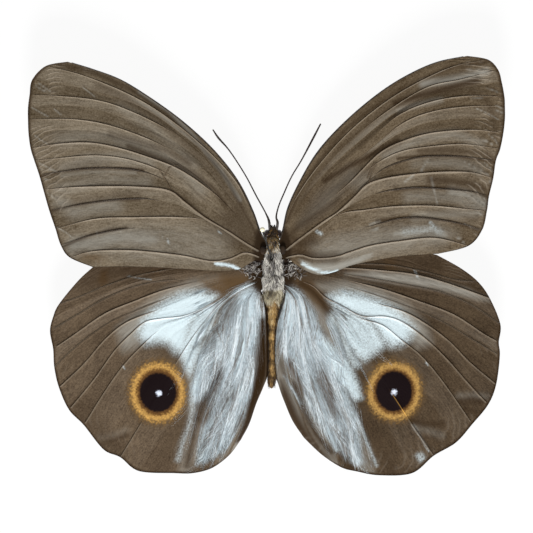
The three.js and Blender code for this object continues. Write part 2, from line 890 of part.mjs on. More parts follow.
const shaftTop = pinEntry[2] + pinAboveFur;
const shaft = pinRod(pinDiameter / 2, pinPointHeight, shaftTop).subtract(pinHead);
addPart("pin_shaft", shaft, pinSteel);
addPart("pin_head", pinHead, pinHeadCream);

// The origin is the middle of the box round everything, on the surface that it lies on.
const box = new THREE.Box3().setFromObject(group);
const middle = box.getCenter(new THREE.Vector3());
for (const part of group.children) part.geometry.translate(-middle.x, -middle.y, -box.min.z);

export default group;
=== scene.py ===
# Pinned butterfly with all wings spread, lying on a table and seen from above.
# Sizes below are in mm: x to its right, y towards its head, z up from the table.
import math

import bpy
import numpy as np
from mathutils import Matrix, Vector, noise


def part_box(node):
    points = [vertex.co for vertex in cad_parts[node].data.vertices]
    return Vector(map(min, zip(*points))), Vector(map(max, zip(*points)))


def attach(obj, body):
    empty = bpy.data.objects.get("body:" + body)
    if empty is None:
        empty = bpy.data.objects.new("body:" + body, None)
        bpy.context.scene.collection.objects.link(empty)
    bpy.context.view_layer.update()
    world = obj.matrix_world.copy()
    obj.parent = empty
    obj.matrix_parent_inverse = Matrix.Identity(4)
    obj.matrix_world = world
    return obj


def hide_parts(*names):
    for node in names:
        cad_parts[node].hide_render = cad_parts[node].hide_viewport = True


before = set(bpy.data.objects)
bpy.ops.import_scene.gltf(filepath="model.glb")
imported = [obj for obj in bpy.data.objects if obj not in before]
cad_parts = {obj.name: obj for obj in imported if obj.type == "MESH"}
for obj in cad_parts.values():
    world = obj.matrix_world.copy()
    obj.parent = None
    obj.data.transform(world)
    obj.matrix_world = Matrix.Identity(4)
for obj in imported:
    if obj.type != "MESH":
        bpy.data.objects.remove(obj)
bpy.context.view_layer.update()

mm = 0.001
bodyMiddle = 0.3  # x of the plane between the left and the right side of the body
sideTurns = {"left": -1, "right": 1}

# The points below are drawn from the middle of the wings, so they are moved to where the pin's head stands.
pinHeadMiddle = (-1.71, 6.8175, 18.7)
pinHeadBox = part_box("pin_head")
shift = np.array([(pinHeadBox[0][k] + pinHeadBox[1][k]) / 2 / mm - pinHeadMiddle[k] for k in range(2)] + [0])
print("drawing moved by", shift.round(3), "mm")


def toMetres(points):  # drawn mm to the model's metres
    return (np.asarray(points, float).reshape(-1, 3) + shift) * mm


def toSide(x, turn):  # x of a point that is drawn on the right, on the side that turn gives
    return bodyMiddle + turn * (x - bodyMiddle)


def linear(hexColour):  # sRGB hex to the linear values that shaders take
    parts = [int(hexColour[i:i + 2], 16) / 255 for i in (1, 3, 5)]
    return [p / 12.92 if p <= 0.04045 else ((p + 0.055) / 1.055) ** 2.4 for p in parts] + [1]


# Kinds and settings of the nodes that come up most.
mathNode, mixNode = "ShaderNodeMath", "ShaderNodeMix"
rangeNode, noiseNode = "ShaderNodeMapRange", "ShaderNodeTexNoise"
add, subtract, multiply, multiplyAdd = (
    {"operation": word} for word in ("ADD", "SUBTRACT", "MULTIPLY", "MULTIPLY_ADD"))
rgba, smooth, clamped = {"data_type": "RGBA"}, {"interpolation_type": "SMOOTHSTEP"}, {"use_clamp": True}


def addNode(tree, kind, settings=None, inputs=(), output=0):  # one node with its settings, values and links
    made = tree.nodes.new(kind)
    for key, value in (settings or {}).items():
        setattr(made, key, value)
    for key, value in inputs.items() if isinstance(inputs, dict) else enumerate(inputs):
        if isinstance(value, bpy.types.NodeSocket):
            tree.links.new(value, made.inputs[key])
        else:
            made.inputs[key].default_value = value
    return made if output is None else made.outputs[output]


def newMaterial(name, shaderValues):
    material = bpy.data.materials.new(name)
    material.use_nodes = True
    shader = material.node_tree.nodes["Principled BSDF"]
    for key, value in shaderValues.items():
        shader.inputs[key].default_value = value
    return material, material.node_tree, shader


def awayFrom(tree, place, middle, half):  # 0 in the middle of a soft ellipsoid and 1 where it ends
    scale = [1 / (size * mm) if size else 0 for size in half]
    location = [-c * s for c, s in zip(toMetres([middle])[0], scale)]
    local = addNode(tree, "ShaderNodeMapping", None, {"Vector": place, "Scale": scale, "Location": location})
    return addNode(tree, "ShaderNodeVectorMath", {"operation": "LENGTH"}, (local,), "Value")


def smoothStep(value, low, high):
    t = np.clip((value - low) / (high - low), 0, 1)
    return t * t * (3 - 2 * t)


def pathLengths(points):  # length of a path up to each of its points
    return np.concatenate([[0], np.cumsum(np.linalg.norm(np.diff(points, axis=0), axis=1))])


def smoothPath(points, steps):  # even steps along a smooth curve through the points
    given = np.asarray(points, float)
    given = np.vstack([2 * given[0] - given[1], given, 2 * given[-1] - given[-2]])
    fine = []
    for a, b, c, d in zip(given, given[1:], given[2:], given[3:]):
        gaps = [max(np.linalg.norm(q - p), 1e-9) ** 0.5 for p, q in ((a, b), (b, c), (c, d))]
        into = gaps[1] * ((b - a) / gaps[0] - (c - a) / (gaps[0] + gaps[1]) + (c - b) / gaps[1])
        away = gaps[1] * ((c - b) / gaps[1] - (d - b) / (gaps[1] + gaps[2]) + (d - c) / gaps[2])
        t = np.linspace(0, 1, 24, endpoint=False)[:, None]
        fine.append(b + into * t + (3 * (c - b) - 2 * into - away) * t**2 + (2 * (b - c) + into + away) * t**3)
    fine = np.vstack(fine + [given[-2][None]])
    length = pathLengths(fine)
    wanted = np.linspace(0, length[-1], steps + 1)
    return np.stack([np.interp(wanted, length, fine[:, k]) for k in range(fine.shape[1])], axis=1)


def lineGap(points, line, closed=False):  # distance of each point from a line, in mm
    ends = list(line[1:]) + ([line[0]] if closed else [])
    gap = np.full(len(points), 1e9)
    for a, b in zip(line, ends):
        run = np.subtract(b, a)
        offset = points - np.asarray(a)
        t = np.clip(offset @ run / max(run @ run, 1e-12), 0, 1)
        gap = np.minimum(gap, np.linalg.norm(offset - t[:, None] * run, axis=1))
    return gap


def isInside(points, outline):
    inside = np.zeros(len(points), bool)
    for (ax, ay), (bx, by) in zip(outline, list(outline[1:]) + [outline[0]]):
        crosses = (ay > points[:, 1]) != (by > points[:, 1])
        level = (points[:, 1] - ay) / (by - ay if by != ay else 1e-9)
        inside ^= crosses & (points[:, 0] < ax + level * (bx - ax))
    return inside


def addValues(mesh, name, values, kind="FLOAT"):  # a value or vector at each point, which materials read
    attribute = mesh.attributes.new(name, kind, "POINT")
    attribute.data.foreach_set("value" if kind == "FLOAT" else "vector", np.asarray(values, np.float32).ravel())


def addObject(name, data):
    made = bpy.data.objects.new(name, data)
    bpy.context.scene.collection.objects.link(made)
    return made


def meshObject(name, points, faces, material):
    mesh = bpy.data.meshes.new(name)
    mesh.from_pydata(points.tolist(), [], faces)
    mesh.materials.append(material)
    mesh.shade_smooth()
    return addObject(name, mesh)


def closedSkin(name, rings, ends, material, outward=1):  # skin over rings of points, with a point past each end
    number = np.arange(rings.shape[0] * rings.shape[1]).reshape(rings.shape[:2])
    beside = np.roll(number, -1, axis=1)
    quads = np.stack([number[:-1], beside[:-1], beside[1:], number[1:]], -1).reshape(-1, 4)
    faces = quads.tolist()
    for side in range(rings.shape[1]):
        faces.append([number.size, beside[0, side], number[0, side]])
        faces.append([number.size + 1, number[-1, side], beside[-1, side]])
    faces = [[face[0], *face[:0:-1]] if outward < 0 else face for face in faces]
    return meshObject(name, toMetres(np.vstack([rings.reshape(-1, 3), ends])), faces, material)


def finishPiece(piece, slot, *nodes):
    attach(piece, "root")
    if nodes:
        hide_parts(*nodes)


# Lines of the wings from root to margin: name, rise over the plain sheet, and points.
forewingLeftLines = [
    ("costa", 0.15, [(-2, 6.1), (-3.5, 10.2), (-6.3, 15.9), (-10.7, 21.6), (-16.7, 27.2), (-23, 31.8),
     (-28.6, 35.2), (-33.9, 37.2), (-38.5, 38.6)]),
    ("subcosta", 0.3, [(-3.7, 9.6), (-6, 14.9), (-9.7, 19.5), (-17.3, 26.3), (-24.9, 31.4), (-35.3, 35.9),
     (-42.6, 37.8)]),
    ("fold1", -0.2, [(-5.4, 12.5), (-11.1, 19.7), (-17.3, 25.1), (-24.9, 30.1), (-36.2, 33.7), (-45.2, 35.2)]),
    ("radius1", 0.25, [(-5.4, 11), (-7.5, 13.4), (-12.2, 19.7), (-17.3, 24.2), (-23, 27.6), (-31.5, 31),
     (-40, 32.1), (-45.7, 32.3)]),
    ("fold2", -0.2, [(-7.5, 12.5), (-13.5, 19.7), (-18.2, 23.3), (-25.8, 27.2), (-36.2, 30.1), (-46, 29.9)]),
    ("radius2", 0.25, [(-7.8, 12.1), (-12.6, 18), (-20.1, 22.5), (-25.8, 25), (-31.5, 26.8), (-37.2, 27.7),
     (-46, 27.7)]),
    ("fold3", -0.2, [(-8.2, 11.3), (-13.5, 16.6), (-21.1, 21.6), (-26.8, 23.6), (-32.4, 25.3), (-40, 25.7),
     (-45.9, 25)]),
    ("radius3", 0.3, [(-6, 8.7), (-9.7, 12.7), (-17.3, 18.2), (-23.9, 20.8), (-29.6, 22.5), (-34.3, 23.3),
     (-40, 23.1), (-45.5, 22.2)]),
    ("media2", 0.12, [(-6.3, 7.9), (-12.6, 13.4), (-21.3, 18.2), (-27.7, 20.3), (-33.4, 20.9), (-40, 20.4),
     (-44.8, 19.9)]),
    ("fold4", -0.22, [(-6.7, 7.2), (-14.5, 12.9), (-23.4, 17.6), (-29.6, 18.5), (-35.3, 18.4), (-43.9, 17.2)]),
    ("cubitus1", 0.3, [(-4.8, 4.3), (-7.8, 6.3), (-12.8, 9.3), (-16.4, 12.1), (-19.2, 14.2), (-25.8, 15),
     (-37.2, 14.9), (-43.1, 14.4)]),
    ("fold5", -0.22, [(-5, 4.1), (-8, 6.1), (-13.1, 9), (-17.7, 11.5), (-23.9, 12.7), (-32.4, 12.2),
     (-42, 10.5)]),
    ("cubitus2", 0.25, [(-5.2, 3.8), (-8.2, 5.8), (-13, 8.7), (-17.3, 9.2), (-25.8, 9.2), (-33.4, 8.9),
     (-40.8, 7)]),
    ("fold6", -0.22, [(-6, 3.2), (-8.6, 4.3), (-13.5, 6.1), (-24.9, 7.2), (-33.4, 6), (-39.8, 3.9)]),
    ("anal", 0.25, [(-5, 2.5), (-7.8, 1.4), (-11.1, 0.9), (-16.4, 1.9), (-22, 2.6), (-27.7, 3), (-34.3, 2.7),
     (-38.1, 1.6)]),
    ("innerMargin", 0.1, [(-2.9, 1.1), (-4.3, 0.4), (-6, -0.6), (-10.7, -0.9), (-17.3, -0.5), (-23, -0.2),
     (-28.6, -0.1), (-33.8, -0.2)]),
]
forewingRightLines = [
    ("costa", 0.15, [(2.2, 6.8), (3.1, 10.8), (5.4, 15.9), (8.8, 21.6), (13.9, 27.2), (20.7, 32.9),
     (26.2, 36.3), (31.3, 38.5), (37, 39.7)]),
    ("subcosta", 0.28, [(3.7, 11), (6, 15.1), (9.7, 20), (15.2, 25.9), (22.4, 31.6), (29, 35.4), (34.7, 37.8),
     (40.9, 39)]),
    ("radius1", 0.22, [(4.1, 10.8), (6.5, 14.6), (10.5, 19.3), (16.2, 24.8), (23.4, 30.3), (30, 34),
     (35.6, 35.2), (42.8, 37.1)]),
    ("fold1", -0.32, [(4.4, 10.4), (6.9, 13.8), (11.1, 18.5), (16.9, 23.8), (23.9, 29.3), (30, 32.3),
     (36.6, 33.8), (43.5, 34.8)]),
    ("radius2", 0.24, [(4.8, 10), (7.5, 13.2), (11.6, 17.8), (17.7, 22.9), (23.9, 28.4), (30, 31), (36.6, 32.1),
     (44, 32)]),
    ("radius3", 0.2, [(5.4, 9.6), (8, 12.5), (12.4, 17), (18.6, 22.1), (25.2, 27.2), (30.9, 29.3), (38.5, 30.2),
     (44.1, 30.1)]),
    ("fold2", -0.2, [(6, 9.3), (8.8, 11.9), (13.5, 16.3), (21.5, 23.4), (27.1, 26.3), (31.9, 27.5),
     (38.5, 27.8), (44.1, 27.8)]),
    ("radius4", 0.3, [(6.5, 8.9), (9.5, 11.3), (14.5, 15.5), (20.5, 21.4), (24.3, 23.4), (30, 25.1),
     (38.5, 25.7), (43.8, 25.1)]),
    ("media2", 0.12, [(6.9, 8.3), (10.1, 10.8), (15, 14.7), (19.8, 19.3), (24.3, 21.6), (30, 22.6), (36.6, 23),
     (43.2, 22.1)]),
    ("fold3", -0.22, [(7.1, 7.6), (10.7, 10), (15.6, 14.2), (21.5, 18.5), (25.8, 20.1), (29, 20.7),
     (35.6, 20.7), (42.4, 19.9)]),
    ("cubitus1", 0.3, [(6.1, 5.7), (10.1, 8.6), (12.4, 10.1), (15.8, 13.2), (18.4, 15.6), (27.1, 17.4),
     (37.5, 17.7), (41.9, 16.6)]),
    ("fold4", -0.22, [(6.3, 5.4), (10.3, 8.3), (13.3, 10.4), (19, 13.4), (25.2, 14.7), (29, 14.8), (37.9, 14),
     (41.1, 13.2)]),
    ("cubitus2", 0.25, [(6.5, 5.1), (10.3, 7.8), (13.3, 9.9), (17.7, 10.6), (22.4, 11.2), (30, 11.4),
     (36.6, 10.8), (40.7, 10.4)]),
    ("fold5", -0.24, [(7.3, 4.3), (12, 6.1), (18.1, 7.4), (24.3, 9), (29, 9.1), (36.6, 7.8), (39.8, 6.8)]),
    ("anal", 0.25, [(5.4, 2.1), (7.8, 1.5), (12, 1.7), (14.8, 2.6), (18.6, 3.8), (24.3, 4.7), (30.9, 5.3),
     (37.2, 3.8)]),
    ("innerMargin", 0.1, [(3.1, 1.3), (4.4, 0.4), (6.3, -0.8), (8.8, -1.7), (12, -1.1), (14.8, 0), (21.5, 1.4),
     (26.2, 2), (31.5, 2.3)]),
]
hindwingLeftLines = [
    ("costa", 0, [(-3.7, 0.6), (-8.8, 2.3), (-18.2, 3), (-27.7, 1.7), (-33.8, -0.2)]),
    ("fold1", -0.1, [(-8.8, 1.1), (-18.2, 0.9), (-27.7, -0.4), (-36.6, -2.8)]),
    ("subcosta", -0.15, [(-8.8, 0.2), (-17.3, -0.4), (-24.9, -1.7), (-31.5, -3.8), (-35.8, -5.6),
     (-40.2, -7.2)]),
    ("fold2", 0.12, [(-8.8, -0.4), (-17.3, -1.3), (-24.9, -2.8), (-31.5, -5.1), (-37.2, -7.6), (-41.3, -9.6)]),
    ("radius", -0.12, [(-8.8, -1.1), (-17.3, -2.5), (-22, -3), (-26.8, -4.2), (-31.5, -6.2), (-36.2, -8.9),
     (-41.9, -12.3)]),
    ("sector", 0.28, [(-8.8, -1.9), (-15.4, -3.3), (-20.5, -4.6), (-25.8, -6.6), (-31.5, -9), (-37.2, -12.9),
     (-41.3, -15.7)]),
    ("media1", -0.2, [(-8.8, -2.6), (-14.8, -4.1), (-20.1, -6.2), (-25.8, -8.5), (-30.5, -10.6), (-36.2, -14.6),
     (-41.1, -19.1)]),
    ("media2", 0.25, [(-8.8, -3.6), (-13.5, -5.1), (-20.1, -7.8), (-27.7, -10.8), (-31.5, -13.9),
     (-35.3, -18.3), (-40.2, -23)]),
    ("media3", 0.1, [(-7.5, -4.3), (-9.7, -6.1), (-16, -9.3), (-21.1, -10), (-23.9, -10.6), (-26.8, -13),
     (-29.6, -15.9), (-33.4, -21.2), (-38.3, -27.2)]),
    ("cubitus1", 0.25, [(-7.3, -4.6), (-9.5, -6.3), (-15.8, -9.6), (-20.1, -11.3), (-24.3, -14.9),
     (-28.1, -18.9), (-31.7, -24), (-35.5, -30.1)]),
    ("fold3", -0.1, [(-7.1, -4.9), (-9.4, -6.6), (-14.8, -10.2), (-18.1, -12.9), (-21.1, -17), (-24.9, -22.3),
     (-28.3, -28.2), (-31.8, -34.7)]),
    ("cubitus2", 0.12, [(-6.9, -5.2), (-9.2, -7), (-13, -11), (-16.5, -15.9), (-20.5, -22.5), (-24.9, -30.1),
     (-28.6, -36.2)]),
    ("fold5", -0.08, [(-6.7, -5.1), (-9.2, -7.3), (-12, -11.2), (-14.7, -16.3), (-16.9, -22.5), (-19.6, -30.1),
     (-25.1, -38.8)]),
    ("anal1", 0.2, [(-6.5, -5.3), (-9.2, -7.6), (-10.9, -10.4), (-12.4, -14.4), (-13.9, -18.2), (-14.5, -23.1),
     (-15.6, -30.4), (-18.4, -39.2)]),
    ("anal2", -0.2, [(-4.6, -5.9), (-6.1, -10.2), (-7.3, -14.9), (-8.8, -19.1), (-10.9, -23.8), (-12.8, -29.1),
     (-14.8, -39.2)]),
    ("fold4", 0.15, [(-3.9, -5.9), (-4.4, -11.2), (-5.4, -17.8), (-6.7, -24), (-8.8, -31), (-11.2, -38.2)]),
    ("anal3", -0.1, [(-2.9, -6.4), (-2.6, -13), (-3.1, -19.7), (-4.1, -25.3), (-5.6, -30.6), (-8, -35.8)]),
    ("innerMargin", -1.2, [(-2.1, -4.5), (-1.6, -6.4), (-1.1, -11.2), (-1, -16.8), (-1.2, -21.7), (-2.9, -26.1),
     (-4.3, -30.1), (-5.8, -32.9)]),
]
hindwingRightLines = [
    ("costa", 0, [(3.7, 0.4), (8.2, 1.9), (16.7, 3.4), (24.3, 3.4), (31.3, 2.1)]),
    ("fold1", -0.1, [(8.8, 0.9), (17.7, 1.7), (25.2, 0.9), (30, -0.4), (35.8, -0.4)]),
    ("subcosta", -0.1, [(9, 0.4), (14.8, 0.4), (22.4, 0.2), (29, -1.1), (34.7, -2.6), (39.1, -3)]),
    ("fold2", 0.25, [(9.2, -0.2), (14.8, -0.4), (21.5, -0.9), (27.1, -1.6), (32.8, -3.1), (41.3, -6.1)]),
    ("radius", -0.2, [(9.2, -0.9), (14.8, -1.7), (21.5, -2.8), (26.2, -3.7), (31.9, -4.9), (37.5, -7.2),
     (43.3, -11)]),
    ("sector", 0.28, [(9.2, -1.7), (14.8, -2.8), (21.5, -4.5), (27.1, -6.4), (34.7, -9.3), (40.4, -13),
     (43, -14.4)]),
    ("media1", -0.18, [(9.2, -2.5), (14.8, -4), (21.5, -6.1), (27.1, -8.2), (32.8, -10.8), (37.5, -13.6),
     (43.2, -17)]),
    ("media2", 0.25, [(9.2, -3.2), (13.9, -5.3), (19.6, -7), (25.2, -8.7), (29, -10.8), (33.8, -14.4),
     (37.5, -18.2), (42.5, -22.4)]),
    ("media3", 0.1, [(7.8, -3.8), (10.1, -5.9), (13, -7.4), (17.1, -9.5), (21.5, -9.6), (24.3, -10.4),
     (28.5, -13.2), (32.8, -17.2), (37.5, -22.5), (41, -26.2)]),
    ("cubitus1", 0.25, [(7.7, -4.1), (9.9, -6.1), (12.8, -7.8), (16.9, -9.9), (21.1, -11.3), (24.3, -13.8),
     (28.1, -16.8), (31.9, -21.2), (38, -29.9)]),
    ("fold3", -0.15, [(7.5, -4.3), (9.7, -6.5), (12.6, -8.2), (16.4, -10.4), (18.8, -12.7), (21.8, -16.3),
     (26.2, -21), (30, -25.7), (34.9, -33.4)]),
    ("cubitus2", 0.2, [(7.3, -4.6), (9.5, -6.9), (12.6, -9.5), (15.8, -13.4), (19.4, -18.9), (24.7, -27),
     (27.1, -30.8), (30.7, -35.9)]),
    ("fold5", -0.08, [(7.3, -4.8), (9.5, -7.1), (12, -9.8), (14.8, -14.4), (17.5, -19.7), (20.1, -25.3),
     (22.8, -32), (26.6, -39.2)]),
    ("anal1", 0.15, [(7.1, -4.9), (9.5, -7.4), (11.2, -9.3), (12.6, -12.1), (13.9, -15.9), (15.2, -20),
     (15.6, -24.4), (16.4, -28.7), (20.4, -39.6)]),
    ("anal2", -0.2, [(5.4, -5.3), (6.9, -9.8), (8.2, -14.9), (10.1, -19.7), (12, -23.8), (14.1, -28.4),
     (16.2, -38.9)]),
    ("fold4", 0.2, [(4.4, -5.7), (5.2, -10.2), (5.8, -15.9), (6.9, -20.6), (8.8, -25.7), (10.5, -30.6),
     (13.2, -38.1)]),
    ("anal3", -0.25, [(3.5, -6.1), (3.1, -11.2), (2.9, -16.8), (3.7, -22.5), (5.2, -26.8), (6.7, -31),
     (9.5, -35.7)]),
    ("innerMargin", -0.9, [(2.7, -4.7), (2.4, -7.2), (1.4, -10.6), (0.9, -14.9), (0.9, -19.3), (1.4, -22.7),
     (2.6, -26.1), (4.1, -29.5), (6.2, -32.6)]),
]

# Colour marks of the wings: layer, strength, softness of the edge, width of the stroke (0 for a filled
# outline), and the points of each stroke.
# Besides the wings' own colours, the grey and dark marks carry painted sheen and painted shade: bands along pleats
# and folds, lit as from the tail, and shade at the roots, under the forewings and beside the abdomen.
forewingLeftMarks = [
    ("ash", 0.25, 5, 0, [(-7.5, 5.7), (-13.5, 7.6), (-23, 8.3), (-30.2, 7.6), (-33.9, 5.7), (-32.4, 2.3),
     (-26.8, 0.8), (-19.2, 0.4), (-8.8, 0.4)]),
    ("ash", 0.72, 4, 2.4, [(-37.3, 3.8), (-35.1, 4.2), (-32.8, 4.5), (-30.2, 5.3), (-26.8, 5.5), (-22.6, 5.1)]),
    ("ash", 0.2, 3, 1.2, [(-23, 6.4), (-19.2, 6.2), (-15.4, 5.5), (-11.6, 4.3), (-8.8, 3.8)]),
    ("ash", 0.35, 4, 1.8, [(-39.2, 18.5), (-34.3, 20), (-28.6, 20.4), (-23, 19.7)], [(-40, 14.4), (-35.3, 15.5),
     (-29.6, 16.3), (-23.9, 15.9)]),
    ("ash", 0.5, 4, 1.8, [(-40, 12.1), (-37.2, 10.2), (-33.4, 11), (-29.6, 11.5)]),
    ("ash", 0.35, 4, 2.4, [(-29, 23.8), (-23.9, 22.7), (-20.1, 20.8), (-16.4, 17.8), (-13.5, 14.7)]),
    ("ash", 0.3, 4, 2.4, [(-40, 23.8), (-35.3, 24.6), (-29.6, 24.6)]),
    ("ash", 0.3, 3, 1.4, [(-28.6, 29.9), (-23, 26.5), (-18.2, 22.7), (-14.5, 18.9)]),
    ("ash", 0.75, 0.8, 0.7, [(-24.9, 32.9), (-19.2, 29.1), (-14.5, 24.2), (-9.4, 17.8), (-6, 12.5)]),
    ("dusk", 0.6, 0.5, 0.16, [(-24.9, 28.9), (-20.1, 26.1), (-15.4, 22.1), (-12.4, 18.5)], [(-22.6, 29.5),
     (-17.7, 25.9), (-13.5, 21.9), (-10.9, 18.2)]),
    ("dusk", 0.55, 0.5, 0.16, [(-20.1, 29.5), (-15.8, 25.7), (-12.2, 21.6), (-9.7, 17.4)], [(-26.8, 26.8),
     (-22, 25.1), (-17.3, 22.3), (-13.5, 18.5)]),
    ("dusk", 0.5, 0.5, 0.16, [(-13.5, 16.6), (-12, 15.1), (-10.9, 14)], [(-15.8, 15.5), (-13.9, 13.6),
     (-12.4, 12.3)]),
    ("dusk", 0.75, 1.4, 1, [(-40.4, 38.2), (-33.4, 36.5), (-26.8, 33.5), (-20.1, 29.1), (-13.5, 23.1),
     (-8.2, 15.9), (-4.8, 9.5), (-2.6, 5.3)]),
    # Painted shade along the upper edge of the cell.
    ("dusk", 0.75, 1.2, 0.9, [(-27.1, 22.7), (-23.9, 21.4), (-18.2, 19.3), (-15, 17.6), (-10.7, 14.4),
     (-8.6, 11.5)]),
    ("dusk", 0.5, 1.2, 1.2, [(-30.5, 24.8), (-25.8, 23.6), (-20.1, 21.9), (-15.4, 19.5)]),
    ("dusk", 0.6, 0.8, 0.7, [(-19, 14.2), (-16.4, 12.5), (-13, 9.6), (-8.8, 6.6), (-6, 4.3)]),
    ("dusk", 0.45, 2.4, 1.8, [(-32.4, 34), (-27.7, 31.8), (-21.1, 27.6), (-15.4, 22.3), (-9.7, 16.3),
     (-5.6, 8.7)]),
    ("dusk", 0.55, 5, 0, [(-1.8, 4.9), (-3.7, 10.2), (-6, 13.2), (-9.7, 10.2), (-10.9, 6.4), (-7.5, 3.4),
     (-3.7, 2.3)]),
    ("dusk", 0.6, 2.6, 1.8, [(-2.9, 5.7), (-4.8, 4.2), (-6.3, 4.9), (-8.2, 6.8)]),
    # Fold lines: painted shade in each fold and above it, and a painted sheen below it, as light from the tail
    # falls on the pleats.
    ("dusk", 0.9, 0.8, 0.5, [(-24.3, 18.1), (-27.1, 18.4), (-29.8, 18.5), (-35.5, 18.4), (-40, 17.8),
     (-43.4, 17)], [(-24.9, 12.6), (-28.6, 12.6), (-32.4, 12.3), (-37.2, 11.5), (-41.5, 10.4)], [(-27.5, 7.2),
     (-30.5, 6.8), (-33.6, 6.1), (-36.6, 4.9), (-39.2, 3.8)]),
    ("dusk", 0.4, 1.8, 0.8, [(-24.9, 13.4), (-28.6, 13.4), (-32.4, 13), (-37.2, 12.3), (-40.7, 11.3)]),
    ("dusk", 0.3, 1.8, 0.8, [(-30.5, 19.3), (-35.5, 19.3), (-40, 18.5)]),
    ("ash", 0.45, 1.4, 0.6, [(-25.8, 17.6), (-29.8, 17.8), (-35.5, 17.7), (-39.6, 17)]),
    ("warm", 0.4, 2, 0, [(-37, 2.6), (-34.3, 2.3), (-31.3, 1.9), (-32.4, 0.8), (-35.5, 1.1)]),
    # Painted highlight along the curled inner margin.
    ("pale", 1, 0.5, 0.5, [(-10.5, 0.4), (-9, 0.3), (-7.5, 0), (-5.8, -0.8)]),
    ("pale", 0.5, 0.3, 0.22, [(-10.1, 6.6), (-9.5, 6.1)]),
    ("pale", 0.35, 0.4, 0.2, [(-20.7, 5.3), (-19.9, 5.1), (-19.2, 4.3)]),
    ("ash", 0.8, 0.6, 0.3, [(-28.5, 6.6), (-28.1, 4.9)], [(-33, 6.4), (-32.8, 4.9)]),
]
